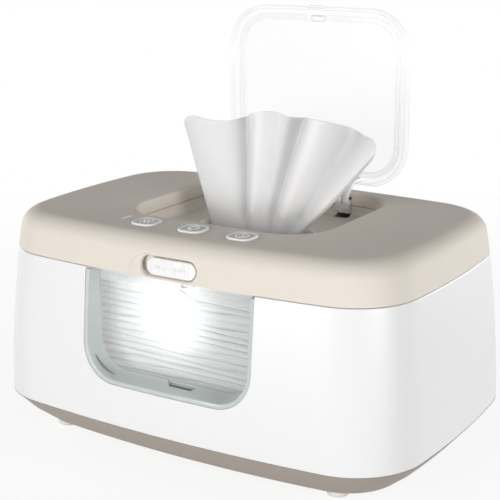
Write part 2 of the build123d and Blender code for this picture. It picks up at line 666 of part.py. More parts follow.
def lid_finger(x0, x1):
    """Gooseneck finger: down from the lid, round the deck's edge about the hinge, up to the pin."""
    top = TOP - LID_T + 0.3
    outside = about_lid_axis(ARM_R_OUT, range(180, 271, 15))
    inside = about_lid_axis(ARM_R_IN, range(255, 179, -15))
    leg = [(LID_AXIS_Y, LID_AXIS_Z), (inside[0][0], LID_AXIS_Z)]
    points = [(outside[0][0], top)] + outside + leg + inside + [(inside[-1][0], top)]
    finger = plate_x(x0, x1, points) + bar_x(x0, x1, LID_AXIS_Y, LID_AXIS_Z, 2.4, 12)
    return finger - bar_x(x0 - 1, x1 + 1, LID_AXIS_Y, LID_AXIS_Z, LID_PIN_R + 0.1)


def make_flip_lid():
    """Clear lid: rounded plate with a rim, cut away at the back, and two pairs of goosenecks."""
    lid = lid_plan(0, TOP - LID_SKIRT, TOP)
    lid = chamfer(lid.edges().group_by(Axis.Z)[-1], 1.2)
    lid -= lid_plan(1.7, TOP - LID_SKIRT - 1, TOP - LID_T)
    sweep_gap = rod_x(-60, 60, LID_AXIS_Y, LID_AXIS_Z, 11.4)
    lid -= sweep_gap & block((-60, 60), (40, 70), (90, TOP - LID_T))
    lid -= rod_x(-60, 60, LID_AXIS_Y, LID_AXIS_Z, ARM_R_IN - 0.1)
    lid += block((-5, 5), (LID_FRONT - 0.6, LID_FRONT + 1), (110.2, 111.4))
    lid += slab(9, 3.2, 1.5, 111.8, TOP - LID_T + 0.1, (0, LID_FRONT + 6.4))
    for x0, x1 in FINGER_X:
        for finger in both_sides(lid_finger(x0, x1)):
            lid += finger
    return opened(lid)


def make_lid_gasket():
    """Soft flat ring inside the flip lid, with an inner lip."""
    under = TOP - LID_T
    flat = lid_plan(4.4, under - 0.5, under) + lid_plan(6.8, 112.6, under)
    gasket = flat - lid_plan(7.8, 100, 120)
    return opened(gasket - rod_x(-60, 60, LID_AXIS_Y, LID_AXIS_Z, 13.0)
                  - block((-7, 7), (LID_FRONT + 2.4, LID_FRONT + 10.4), (100, 120)))


def make_lid_pins():
    """Pins of the flip lid's two hinges."""
    return Compound(both_sides(bar_x(POCKET_X[0] - 1.3, POCKET_X[1] + 1.3,
                                     LID_AXIS_Y, LID_AXIS_Z, LID_PIN_R)))


def make_lid_springs():
    """Torsion springs wound round the pins, beside the fingers."""
    spring = Pos(27.2, LID_AXIS_Y, LID_AXIS_Z) * Rot(0, 90, 0) * coil(1.75, 0.55, 0.7, 4)
    return Compound(both_sides(spring))


# ---- Wipe being drawn out ---------------------------------------------------------------------
SHEET_Y = 8.0
PLEATS = 7
SHEET_FOOT_X = (-28.0, 23.0)
SHEET_HEAD_X = (-52.0, 74.0)
SHEET_Z = (TRAY_FLOOR - 2.0, 170.0)
FOLD_DEPTH = 2.4           # at the foot; folds and thickness grow with the width
SHEET_THICK = 1.3


def pleat_edge(x0, x1, z, side):
    """Corners of the zigzag band's front (-1) or back (1) line; all grows with the width."""
    grow = (x1 - x0) / (SHEET_FOOT_X[1] - SHEET_FOOT_X[0])
    corners = []
    for i in range(PLEATS + 1):
        fold = FOLD_DEPTH * (1 if i % 2 else -1)
        corners.append((x0 + (x1 - x0) * i / PLEATS, SHEET_Y + (fold + side * SHEET_THICK) * grow, z))
    return corners


def make_wipe_sheet():
    """Pleated fan of non-woven drawn up through the mouth, trimmed to its wavy top edge."""
    rings = []
    for limits, z in zip((SHEET_FOOT_X, SHEET_HEAD_X), SHEET_Z):
        rings.append(pleat_edge(*limits, z, -1) + pleat_edge(*limits, z, 1)[::-1])
    foot, head = rings
    faces = [make_face(Polyline(corners, close=True)).face() for corners in rings]
    for i in range(len(foot)):
        j = (i + 1) % len(foot)
        faces.append(make_face(Polyline(foot[i], foot[j], head[j], head[i], close=True)).face())
    fan = Solid(Shell(faces))
    edge = [(-30, 101.0), (-44, 152), (-36, 160), (-14, 158.5), (8, 165.5), (36, 164.5), (53, 159.5),
            (68, 154), (26, 101.0)]
    return fan & plate_y(-30, 50, make_face(Polyline(edge, close=True)))


# ---- Assembly -----------------------------------------------------------------------------------
def build():
    """Every node by name."""
    nodes = {"base_pan": make_base_pan(), "outer_shell": make_outer_shell()}
    for end, y in (("front", -FOOT_Y), ("rear", FOOT_Y)):
        for side, x in (("left", -FOOT_X), ("right", FOOT_X)):
            nodes["foot_" + end + "_" + side] = make_foot(x, y)
    nodes["base_screws"] = make_screws(boss_places(), 7.2, 9.5, 18.0, 3.0, 1.45)
    nodes["window_insert"] = make_window_insert()
    nodes["inner_tank"] = make_inner_tank()
    nodes["wipe_stack"] = make_wipe_stack()
    nodes["heater_plate"], nodes["heater_mat"] = make_heater()
    nodes["thermal_cutoff"] = make_thermal_cutoff()
    nodes["power_board"], nodes["power_board_parts"] = make_power_board()
    nodes["dc_jack"], nodes["dc_pin"] = make_dc_jack()
    nodes["night_light_lens"], nodes["night_light_board"] = make_night_light()
    nodes["hinge_pins"] = make_hinge_pins()
    nodes["cover"] = make_cover()
    nodes["dispensing_tray"], nodes["mouth_plate"] = make_dispensing_tray()
    nodes["mouth_seal"] = make_mouth_seal()
    nodes["cover_liner"] = make_cover_liner()
    nodes["cover_seal"] = make_cover_seal()
    nodes["liner_screws"] = make_screws(liner_posts(), 94.2, 95.4, 103.0, 2.6, 1.3)
    nodes["tray_screws"] = make_screws(tray_posts(), 105.0, 106.3, 111.5, 2.2, 1.0)
    nodes["control_board"] = make_control_board()
    nodes["board_screws"] = make_screws(board_posts(), 105.2, 106.4, 111.5, 2.2, 1.0)
    nodes["tact_switches"] = make_tact_switches()
    nodes["light_pipe"] = make_light_pipe()
    for name, x in zip(("heat", "light", "timer"), BUTTON_X):
        nodes["button_" + name] = make_button(x)
    nodes["latch_knob"] = make_latch_knob()
    nodes["latch_hook"] = make_latch_hook()
    nodes["latch_spring"] = make_latch_spring()
    nodes["flip_lid"] = make_flip_lid()
    nodes["lid_gasket"] = make_lid_gasket()
    nodes["lid_pins"] = make_lid_pins()
    nodes["lid_springs"] = make_lid_springs()
    nodes["wipe_sheet"] = make_wipe_sheet()
    return nodes


os.makedirs("parts", exist_ok=True)
for node_name, node_shape in build().items():
    export_step(node_shape, "parts/" + node_name + ".step")
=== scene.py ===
"""Looks of a baby wipe warmer: moulded housing, lit window, clear flip lid and a drawn-up wipe."""
import json
import math

import bmesh
import bpy
import numpy as np
from mathutils import Matrix, Vector


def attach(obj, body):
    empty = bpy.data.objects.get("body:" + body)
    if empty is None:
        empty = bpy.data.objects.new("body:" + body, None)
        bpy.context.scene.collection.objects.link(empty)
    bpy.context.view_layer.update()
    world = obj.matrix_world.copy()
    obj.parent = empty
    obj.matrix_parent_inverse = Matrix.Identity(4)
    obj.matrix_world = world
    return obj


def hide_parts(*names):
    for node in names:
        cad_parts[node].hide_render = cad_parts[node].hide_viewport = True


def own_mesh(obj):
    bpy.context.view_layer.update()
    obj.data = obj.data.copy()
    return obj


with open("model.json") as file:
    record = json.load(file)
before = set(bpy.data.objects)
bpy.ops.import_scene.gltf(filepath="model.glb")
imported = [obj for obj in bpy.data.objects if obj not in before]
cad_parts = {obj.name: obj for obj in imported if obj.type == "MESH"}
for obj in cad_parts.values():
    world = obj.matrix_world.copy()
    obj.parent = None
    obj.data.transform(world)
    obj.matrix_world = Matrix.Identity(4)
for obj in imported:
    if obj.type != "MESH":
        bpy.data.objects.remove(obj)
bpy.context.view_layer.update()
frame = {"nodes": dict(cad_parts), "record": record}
nodes = frame["nodes"]
MM = 0.001
BLACK, WHITE = (0, 0, 0, 1), (1, 1, 1, 1)

# ---- Sizes in millimetres ----
HALF_LENGTH, HALF_DEPTH, CORNER_R, CORNER_SHRINK = 120.0, 81.5, 37.0, 0.6
SIDE_BOW, END_BOW = 4.1, 2.0
PAN_TOP, PARTING, TOP = 19.6, 96.5, 116.0
SHELL_DRAFT, SHELL_CURVE, SHOULDER_R = 5.7, 1.6, 9.6
COVER_DRAFT = math.radians(10)
WALL, GAP, DECK_EDGE_R = 2.4, 0.3, 1.3
COVER_LOW, COVER_BEND = PARTING + 0.15, TOP - SHOULDER_R * (1 - math.sin(COVER_DRAFT))
COVER_START = SHELL_DRAFT + (TOP - SHOULDER_R - COVER_LOW) * math.tan(COVER_DRAFT)
HINGE_Y, HINGE_Z, HINGE_X, KNUCKLE_R = 76.3, 96.5, 58.0, 3.0
WELL_MIDDLE, WELL_X, WELL_Y, WELL_R = (0.0, 10.5), 56.0, 48.5, 24.0
TRAY_FLOOR = 103.0
AXIS_Y, AXIS_Z, NECK_R = 66.0, 110.0, 10.6
LATCH_Z, LATCH_FLOOR, LATCH_SLOT_X, LATCH_SLOT_H = 102.5, -71.0, (-15.0, 17.0), 9.4
BUTTON_Y, BUTTON_X = -51.5, (-27.6, 0.0, 27.6)
WINDOW_TOP, PANE_Y = 95.0, -67.0
STACK_LOW, STACK_TOP, FOLD_PITCH = 28.1, 85.4, 3.4
SLIT_Y, SLIT_Z = 8, 102.2


# ---- Node materials ----
class Socket:
    """An output in a material. Arithmetic on it adds Math nodes."""

    def __init__(self, finish, output):
        self.finish = finish
        self.output = output

    def math(self, operation, *others):
        return self.finish.node("Math", {"operation": operation}, [self, *others])

    def __add__(self, other):
        return self.math("ADD", other)

    def __mul__(self, other):
        return self.math("MULTIPLY", other)

    __radd__, __rmul__ = __add__, __mul__

    def __sub__(self, other):
        return self.math("SUBTRACT", other)

    def __rsub__(self, other):
        return self.finish.node("Math", {"operation": "SUBTRACT"}, [other, self])

    def __truediv__(self, other):
        return self.math("DIVIDE", other)

    def __pow__(self, other):
        return self.math("POWER", other)

    def sine(self):
        return self.math("SINE")

    def clamped(self):
        return self.finish.node("Math", {"operation": "ADD", "use_clamp": True}, [self, 0.0])


class Finish:
    """A material under construction, or the world's nodes."""

    def __init__(self, name, owner=None):
        self.owner = owner or bpy.data.materials.new(name)
        self.owner.use_nodes = True
        self.tree = self.owner.node_tree
        self.tree.nodes.clear()

    def node(self, kind, settings=None, inputs=None, output=0):
        """One node: its settings first, then the values or links of its sockets."""
        made = self.tree.nodes.new("ShaderNode" + kind)
        for key, value in (settings or {}).items():
            if key == "stops":
                self.set_stops(made.color_ramp, value)
            else:
                setattr(made, key, value)
        pairs = inputs.items() if isinstance(inputs, dict) else enumerate(inputs or [])
        for key, value in pairs:
            if isinstance(value, Socket):
                self.tree.links.new(value.output, made.inputs[key])
            else:
                made.inputs[key].default_value = value
        return Socket(self, made.outputs[output]) if len(made.outputs) else None

    @staticmethod
    def set_stops(ramp, stops):
        while len(ramp.elements) < len(stops):
            ramp.elements.new(0.5)
        for element, (position, color) in zip(ramp.elements, stops):
            element.position = position
            element.color = color

    def place(self, scale=(1, 1, 1)):
        """Object coordinates, stretched."""
        at = self.node("TexCoord", output="Object")
        return self.node("VectorMath", {"operation": "MULTIPLY"}, [at, scale])

    def noise(self, at, scale, detail=2.0):
        return self.node("TexNoise", inputs={"Vector": at, "Scale": scale, "Detail": detail})

    def millimetres(self):
        """Object coordinates in millimetres, as three numbers."""
        split = {"Vector": self.place((1000, 1000, 1000))}
        return [self.node("SeparateXYZ", inputs=split, output=axis) for axis in (0, 1, 2)]

    def near(self, middle, reach):
        """1 at a point, falling evenly to 0 at a reach in metres."""
        ends = [self.place(), middle]
        distance = self.node("VectorMath", {"operation": "DISTANCE"}, ends, output="Value")
        return (1 - distance / reach).clamped()

    def mix(self, factor, low, high):
        """Colour between two colours."""
        return self.node("Mix", {"data_type": "RGBA"}, {"Factor": factor, 6: low, 7: high}, output=2)

    def bump(self, height, depth):
        """Normal from a height of 0 to 1 and a depth in metres."""
        return self.node("Bump", inputs={"Height": height, "Distance": depth, "Strength": 1.0})

    def plain_rays(self):
        """Sum of the rays that see the plain surround: the camera's, mirrored and passed through."""
        seen, mirrored, through = (self.node("LightPath", output="Is %s Ray" % kind)
                                   for kind in ("Camera", "Glossy", "Transmission"))
        return seen + mirrored + through

    def surface(self, **sockets):
        names = {key.replace("_", " ").title().replace("Ior", "IOR"): sockets[key] for key in sockets}
        return self.close(self.node("BsdfPrincipled", inputs=names, output="BSDF"))

    def close(self, shader, output="OutputMaterial"):
        self.node(output, inputs={"Surface": shader})
        return self.owner


def rgb(red, green, blue):
    """Screen colour of 0 to 255 as a linear colour."""
    def linear(level):
        share = level / 255
        return share / 12.92 if share <= 0.04045 else ((share + 0.055) / 1.055) ** 2.4
    return (linear(red), linear(green), linear(blue), 1.0)


def moulded(name, color, roughness, grain=0.00003, grain_scale=2600.0, coat=0.0, mottle=0.03, **more):
    """Injection-moulded plastic: fine grain, faint mottle in colour and gloss."""
    f = Finish(name)
    at = f.place()
    cloud = f.noise(at, 18.0, 3.0)
    dark = tuple(c * (1 - mottle) for c in color[:3]) + (1.0,)
    shade = f.mix(cloud, dark, color)
    grainy = f.noise(at, grain_scale, 2.0)
    level = cloud * 0.08 + (roughness - 0.04)
    return f.surface(base_color=shade, roughness=level, coat_weight=coat, coat_roughness=0.12,
                     normal=f.bump(grainy, grain), **more)


def clear_plastic(name, color, low, high):
    """Clear sheet: thin face on, fuller at a slant, where the wall is seen through its length."""
    f = Finish(name)
    slant = f.node("LayerWeight", inputs={"Blend": 0.3}, output="Facing")
    ripple = f.noise(f.place(), 25.0, 1.0)
    alpha = slant * (high - low) + low
    return f.surface(base_color=color, roughness=ripple * 0.06 + 0.08, alpha=alpha.clamped(),
                     normal=f.bump(ripple, 0.00003))


def window_clear(name):
    """Window tub: a clear pane between frosted walls, with a painted glow in front of the lamp: round it the
    pane is made opaque and painted white, cut off below the cover's edge.
    """
    f = Finish(name)
    _, y, z = f.millimetres()
    ripple = f.noise(f.place(), 40.0, 1.0)
    wall = (-67.6 - y).clamped()
    lamp = (-0.0042, -0.067, 0.0782)
    # painted glow: round the lamp the pane turns opaque and emits white, cut off above z 89.5 where the
    # cover's edge shades it
    core = ((f.near(lamp, 0.0205) * 1.3).clamped() ** 1.4) * ((89.5 - z) * 0.2).clamped()
    painted_glow_halo = (f.near(lamp, 0.03) * 1.7).clamped()
    return f.surface(base_color=f.mix(ripple, rgb(198, 205, 203), rgb(210, 216, 214)),
                     roughness=ripple * 0.06 + 0.12, alpha=(wall * 0.84 + core + 0.1).clamped(),
                     normal=f.bump(ripple, 0.00002), emission_color=f.mix(painted_glow_halo, BLACK, WHITE),
                     emission_strength=1.0)


def tank_clear(name):
    """Tank: milky plastic, left clear in the front wall where the window shows the wipes."""
    f = Finish(name)
    x, y, z = f.millimetres()
    front = ((-58.5 - y).clamped() * (62.0 - x.math("ABSOLUTE")).clamped() * (z - 36.0).clamped())
    cloud = f.noise(f.place(), 20.0, 2.0)
    return f.surface(base_color=f.mix(cloud, rgb(231, 233, 233), rgb(238, 240, 240)),
                     roughness=cloud * 0.08 + 0.32, alpha=1 - front * 0.96,
                     normal=f.bump(f.noise(f.place(), 2600.0), 0.00002))


def folded_wipes(name):
    """Stacked tissue: painted shade greys the creases between its folds, the sides are painted greyer than
    the top, and a painted glow brightens it around the lamp.
    """
    f = Finish(name)
    x, _, z = f.millimetres()
    sag = (x * 0.061 + z * 0.31).sine() * 0.45 + (x * 0.17 + z * 0.9).sine() * 0.25
    turn = (z - sag - STACK_LOW) * (2 * math.pi / FOLD_PITCH) + math.pi / 2
    cloud = f.noise(f.place((0.35, 1, 3)), 70.0, 2.0)
    side = ((85.6 - z) * 1.5).clamped()
    # painted shade: dark along each fold line and faintly at half steps, greying the base colour
    crease = ((turn.sine() * 0.5 + 0.5) ** 7.0) * (cloud * 1.3 + 0.1) * side
    double = (((turn * 2.0 + x * 0.02 + cloud * 4.0).sine() * 0.5 + 0.5) ** 9.0) * 0.3 * side
    lamp = (-0.0085, -0.0595, 0.0772)
    # painted glow of the lamp through the tissue, with a broad part that also brightens the left end in the
    # shadow of the tub's walls
    painted_lamp_glow = (f.near(lamp, 0.028) ** 1.5) * 0.65 + f.near((-0.03, -0.0595, 0.07), 0.13) * 0.5
    weave = f.noise(f.place(), 900.0, 2.0)
    # painted light and shade: the top of the stack is painted whiter and its sides greyer, though all of it
    # is the same tissue
    paper = f.mix(side, f.mix(cloud, rgb(226, 228, 228), rgb(246, 247, 247)), rgb(194, 197, 196))
    painted_crease_shade = (crease + double).clamped()
    # the painted glow is dimmed where the painted crease shade falls
    glow = f.mix(painted_crease_shade, WHITE, (0.72, 0.73, 0.72, 1))
    light = f.node("MixRGB", {"blend_type": "MULTIPLY"}, [1.0, glow, f.mix(painted_lamp_glow, BLACK, WHITE)])
    return f.surface(base_color=f.mix(painted_crease_shade, paper, rgb(136, 141, 138)), roughness=cloud * 0.1 + 0.8,
                     normal=f.bump(weave, 0.0001), emission_color=light, emission_strength=0.9)


def drawn_cloth(name):
    """Soft nonwoven cloth: a fine random weave, and painted shade in the hollows of its folds, read from the
    fold attribute.
    """
    f = Finish(name)
    fold = f.node("Attribute", {"attribute_name": "fold"}, output="Fac")
    cloud = f.noise(f.place(), 45.0, 3.0)
    weave = f.noise(f.place((1, 1, 0.4)), 1100.0, 2.0)
    # painted shade: the fold attribute darkens the base colour in the hollows of the folds and towards the
    # left edge
    level = (fold * 0.9 + cloud * 0.2).clamped()
    return f.surface(base_color=f.mix(level, rgb(206, 207, 208), rgb(243, 243, 244)),
                     roughness=weave * 0.1 + 0.82, normal=f.bump(weave, 0.00006))


def metal(name, color, roughness, scale=(1, 1, 1)):
    """Drawn or plated metal with fine scratches."""
    f = Finish(name)
    streak = f.noise(f.place(scale), 900.0, 3.0)
    return f.surface(base_color=f.mix(streak, tuple(c * 0.85 for c in color[:3]) + (1,), color),
                     metallic=1.0, roughness=streak * 0.2 + roughness, normal=f.bump(streak, 0.00002))


MOULDINGS = {
    "pan_plastic": (168, 158, 148, 0.55, {"specular_ior_level": 0.3}),
    "shell_plastic": (239, 239, 239, 0.35, {"coat": 0.1, "mottle": 0.008}),
    "cover_plastic": (231, 223, 212, 0.58, {"mottle": 0.015, "specular_ior_level": 0.2}),
    "tray_plastic": (234, 226, 216, 0.5, {"mottle": 0.015, "specular_ior_level": 0.3}),
    "liner_plastic": (238, 238, 236, 0.4, {"mottle": 0.01}),
    "white_plastic": (243, 243, 242, 0.35, {"coat": 0.08, "mottle": 0.006}),
    "silicone": (225, 225, 222, 0.5, {"mottle": 0.02}),
    "foot_rubber": (222, 220, 214, 0.45, {"mottle": 0.03}),
    "heater_silicone": (150, 66, 44, 0.6, {}),
    "board_laminate": (32, 92, 52, 0.35, {}),
    "black_plastic": (26, 26, 27, 0.4, {}),
    "cutoff_plastic": (58, 38, 30, 0.5, {}),
    "diffuser_plastic": (250, 250, 246, 0.35, {"mottle": 0.005}),
    "wipe_fabric": (240, 241, 241, 0.85, {"grain": 0.0001, "grain_scale": 900.0}),
    "lid_fingers": (250, 250, 250, 0.3, {"coat": 0.1, "mottle": 0.004}),
    "tab_white": (232, 236, 235, 0.3, {"mottle": 0.01}),
    # dark grey for the tub's seam, and for the plate that stands in for the clip slot's shade
    "seam_and_shade_grey": (112, 116, 114, 0.4, {}),
    "stop_grey": (232, 231, 228, 0.3, {"coat": 0.2}),
    # grey face of the buttons: painted shade on the white cap's top
    "button_face": (203, 201, 198, 0.4, {"mottle": 0.01, "specular_ior_level": 0.3}),
    "symbol_white": (252, 252, 252, 0.3, {"coat": 0.1, "mottle": 0.004}),
}
FINISHES = {name: moulded(name, rgb(*levels), roughness, **more)
            for name, (*levels, roughness, more) in MOULDINGS.items()}
for make, name, *values in ((tank_clear, "tank_plastic"), (window_clear, "window_plastic"),
                            (folded_wipes, "wipe_block"), (drawn_cloth, "drawn_wipe"),
                            (clear_plastic, "clear_lid_plastic", rgb(246, 247, 248), 0.04, 0.42),
                            (clear_plastic, "lid_ring", rgb(238, 240, 241), 0.1, 0.4),
                            (metal, "spring_steel", rgb(168, 170, 172), 0.25),
                            (metal, "zinc_steel", rgb(186, 187, 188), 0.3),
                            (metal, "plate_aluminium", rgb(200, 201, 203), 0.3, (1, 12, 1))):
    FINISHES[name] = make(name, *values)
slot_of = {row["node"]: row["material_slot"] for row in frame["record"]["subparts"]}


def smooth_group():
    """Geometry nodes that join the loose triangles and shade them smooth below an angle."""
    group = bpy.data.node_groups.new("smooth_below_angle", "GeometryNodeTree")
    group.interface.new_socket("Geometry", in_out="INPUT", socket_type="NodeSocketGeometry")
    group.interface.new_socket("Geometry", in_out="OUTPUT", socket_type="NodeSocketGeometry")
    new, link = group.nodes.new, group.links.new
    start, end = new("NodeGroupInput"), new("NodeGroupOutput")
    merge = new("GeometryNodeMergeByDistance")
    merge.inputs["Distance"].default_value = 1e-5
    faces, edges = new("GeometryNodeSetShadeSmooth"), new("GeometryNodeSetShadeSmooth")
    edges.domain = "EDGE"
    edges.inputs["Shade Smooth"].default_value = False
    angle, wide = new("GeometryNodeInputMeshEdgeAngle"), new("FunctionNodeCompare")
    wide.inputs["B"].default_value = math.radians(32)
    link(start.outputs[0], merge.inputs[0])
    link(merge.outputs[0], faces.inputs[0])
    link(faces.outputs[0], edges.inputs[0])
    link(angle.outputs["Unsigned Angle"], wide.inputs["A"])
    link(wide.outputs[0], edges.inputs["Selection"])
    link(edges.outputs[0], end.inputs[0])
    return group


SMOOTH = smooth_group()


def dress(piece, slot):
    """Gives a piece its finish."""
    piece.data.materials.clear()
    piece.data.materials.append(FINISHES[slot])


# ---- Surfaces on grids ----
def grid(points, close_rows=False, close_columns=True):
    """Quads between the neighbours of a grid of points (rows, columns, xyz)."""
    rows, columns = points.shape[:2]
    r = np.arange(rows if close_rows else rows - 1)[:, None]
    c = np.arange(columns if close_columns else columns - 1)[None, :]
    next_r, next_c = (r + 1) % rows * columns, (c + 1) % columns
    quads = np.broadcast_arrays(r * columns + c, r * columns + next_c, next_r + next_c, next_r + c)
    return points.reshape(-1, 3), np.stack(quads, -1).reshape(-1, 4)


def capped(points):
    """Grid whose first and last rows are drawn together to their middles, so that it is closed."""
    first, last = points[:1].mean(1, keepdims=True), points[-1:].mean(1, keepdims=True)
    columns = points.shape[1]
    return np.concatenate([np.repeat(first, columns, 1), points, np.repeat(last, columns, 1)])


def closed(points):
    """Closed skin of a grid of points."""
    return grid(capped(points))


def loose(name, patches, outward=True):
    """Object of several grids, not yet a piece: shared points merged, faces turned outwards."""
    places, quads, start = [], [], 0
    for points, faces in patches:
        places.append(points)
        quads.append(faces + start)
        start += len(points)
    mesh = bpy.data.meshes.new(name)
    mesh.from_pydata(np.concatenate(places) * MM, [], np.concatenate(quads))
    work = bmesh.new()
    work.from_mesh(mesh)
    bmesh.ops.remove_doubles(work, verts=work.verts, dist=2e-6)
    bmesh.ops.dissolve_degenerate(work, dist=1e-7, edges=work.edges)
    if outward:
        bmesh.ops.recalc_face_normals(work, faces=work.faces)
    work.to_mesh(mesh)
    work.free()
    made = bpy.data.objects.new(name, mesh)
    bpy.context.scene.collection.objects.link(made)
    return made


def settle(piece):
    """Works a piece's modifiers into its mesh."""
    bpy.context.view_layer.update()
    shown = piece.evaluated_get(bpy.context.evaluated_depsgraph_get())
    result = bpy.data.meshes.new_from_object(shown)
    piece.modifiers.clear()
    piece.data = result


def carve(piece, patches):
    """Cuts closed grids out of a piece and keeps the result in its mesh."""
    tool = loose("tool", patches)
    step = piece.modifiers.new("carve", "BOOLEAN")
    step.operation, step.solver, step.object = "DIFFERENCE", "EXACT", tool
    settle(piece)
    bpy.data.objects.remove(tool)


def thicken(piece, thickness, offset):
    """Gives a single skin its wall."""
    wall = piece.modifiers.new("wall", "SOLIDIFY")
    wall.thickness, wall.offset = thickness * MM, offset
    settle(piece)


def finished(piece, body, slot, replaces=(), finish=None, crease=30, weighted=True):
    """Finish, body and creases of a piece whose shape is done."""
    mesh = piece.data
    dress(piece, finish or slot)
    mesh.polygons.foreach_set("use_smooth", [True] * len(mesh.polygons))
    mesh.set_sharp_from_angle(angle=math.radians(crease))
    if weighted:
        piece.modifiers.new("weight", "WEIGHTED_NORMAL").keep_sharp = True
    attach(piece, body)
    if replaces:
        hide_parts(*replaces)
    return piece


def mirrored_quarter(x, y):
    """Closed outline (..., points, 2) from its front right quarter, mirrored twice."""
    whole_x = np.concatenate([x, x[..., -2::-1], -x[..., 1:], -x[..., -2:0:-1]], -1)
    whole_y = np.concatenate([y, -y[..., -2::-1], -y[..., 1:], y[..., -2:0:-1]], -1)
    return np.stack([whole_x, whole_y], -1)


SIDE, BEND, END = [np.linspace(0, 1, count) for count in (27, 23, 17)]


def plan_sizes(inset):
    """Half length, half depth, corner radius and the bowed side's radius at an inset."""
    a, b, r = HALF_LENGTH - inset, HALF_DEPTH - inset, CORNER_R - CORNER_SHRINK * inset
    return a, b, r, ((a - r) ** 2 + SIDE_BOW ** 2) / (2 * SIDE_BOW)


def body_outline(inset):
    """Plan outline at each inset: a bowed side, a corner arc and a bowed end that share tangents,
    each point placed by the direction in which the wall faces."""
    a, b, r, side_r = plan_sizes(np.atleast_1d(np.asarray(inset, float))[:, None])
    end_r = ((b - r) ** 2 + END_BOW ** 2) / (2 * END_BOW)
    side_y, end_x = side_r - b, a - end_r
    r0, r1, span = side_r - r, end_r - r, np.hypot(end_x, side_y)
    ux, uy = end_x / span, -side_y / span
    along = (r0 ** 2 - r1 ** 2 + span ** 2) / (2 * span)
    across = np.sqrt(r0 ** 2 - along ** 2)
    cx, cy = ux * along - uy * across, side_y + uy * along + ux * across
    first, last = np.arcsin(cx / r0), np.arccos(-cy / r1)
    side, bend = first * SIDE, first + (last - first) * BEND
    end = last + (np.pi / 2 - last) * END
    x = [side_r * np.sin(side), (cx + r * np.sin(bend))[:, 1:], (end_x + end_r * np.sin(end))[:, 1:]]
    y = [side_y - side_r * np.cos(side), (cy - r * np.cos(bend))[:, 1:], (-end_r * np.cos(end))[:, 1:]]
    return mirrored_quarter(np.concatenate(x, 1), np.concatenate(y, 1))


def front_y(x, inset):
    """Front wall's place at x: the bowed side's circle."""
    _, b, _, side_r = plan_sizes(inset)
    return side_r - b - np.sqrt(side_r ** 2 - x ** 2)


def soft_rectangle(half_x, half_y, radius, middle=(0.0, 0.0)):
    """Rounded rectangles, one per row, with as many points as the plan outline."""
    sizes = [np.atleast_1d(np.asarray(size, float)) for size in (half_x, half_y, radius)]
    half_x, half_y, radius = (size[:, None] for size in np.broadcast_arrays(*sizes))
    turn = BEND * np.pi / 2
    x = [(half_x - radius) * SIDE, (half_x - radius + radius * np.sin(turn))[:, 1:],
         (half_x * np.ones_like(END))[:, 1:]]
    y = [-half_y * np.ones_like(SIDE), (-half_y + radius - radius * np.cos(turn))[:, 1:],
         (-(half_y - radius) * (1 - END))[:, 1:]]
    outline = mirrored_quarter(np.concatenate(x, 1), np.concatenate(y, 1))
    return outline + np.asarray(middle)


def at_heights(outlines, heights):
    """Plan outlines with a height for each row."""
    heights = np.broadcast_to(np.asarray(heights, float)[:, None, None], outlines.shape[:2] + (1,))
    return np.concatenate([outlines, heights], -1)


def cushion(half_x, half_y, radius, middle, z):
    """Closed block of rounded rectangles, one at each height."""
    return closed(at_heights(soft_rectangle(np.broadcast_to(half_x, len(z)), half_y, radius, middle), z))


def arc(low, high, count):
    """Angles in degrees from low to high, as radians."""
    return np.radians(np.linspace(low, high, count))


def about(x, y, radius, turn):
    """Points at a radius round a middle."""
    return np.column_stack([x + radius * np.cos(turn), y + radius * np.sin(turn)])


def ring_path(x, y, radius, low=0, high=360, count=40):
    """Even steps along an arc, or round the whole circle."""
    return about(x, y, radius, arc(low, high, count))


def both_sides(low, high):
    """A span along X on the left, and its mirror image on the right."""
    return [(-high, -low), (low, high)]


def upright(outline, y):
    """Outline drawn in X and Z, stood up at y."""
    return np.column_stack([outline[:, 0], np.broadcast_to(y, len(outline)), outline[:, 1]])


def upright_block(outline, y):
    """Closed block between upright copies of an outline."""
    return closed(np.array([upright(outline, place) for place in y]))


def box_patch(x, y, z):
    """Closed block between pairs of limits, as a capped grid of four corners."""
    corners = [(x[0], y[0]), (x[1], y[0]), (x[1], y[1]), (x[0], y[1])]
    return closed(np.array([[(*corner, height) for corner in corners] for height in z], float))


def rod_patch(x, y, z, radius, axis="x", points=32):
    """Closed cylinder along an axis: x, y and z are its middle or, along the axis, its two ends."""
    turn = np.linspace(0, 2 * np.pi, points, endpoint=False)
    if axis == "x":
        section = about(y, z, radius, turn)
        return closed(np.array([np.column_stack([np.full(points, end), section]) for end in x]))
    return upright_block(about(x, z, radius, turn), y)


def plate_patch(x, outline):
    """Closed plate along X whose outline is drawn in Y and Z."""
    outline = np.asarray(outline, float)
    rows = [np.column_stack([np.full(len(outline), place), outline]) for place in x]
    return closed(np.array(rows))


def tube_patch(path, section, sideways=(1.0, 0.0, 0.0), taper=1.0):
    """Closed tube: a section (points, 2) carried along a path and scaled by the taper. Its first axis
    is the sideways one, its second is square to that and to the path."""
    path, sideways = np.asarray(path, float), np.asarray(sideways)
    ahead = np.gradient(path, axis=0)
    normal = np.cross(ahead / np.linalg.norm(ahead, axis=1, keepdims=True), sideways)
    normal /= np.linalg.norm(normal, axis=1, keepdims=True)
    return closed(path[:, None] + taper * (section[None, :, :1] * sideways
                                           + section[None, :, 1:] * normal[:, None]))


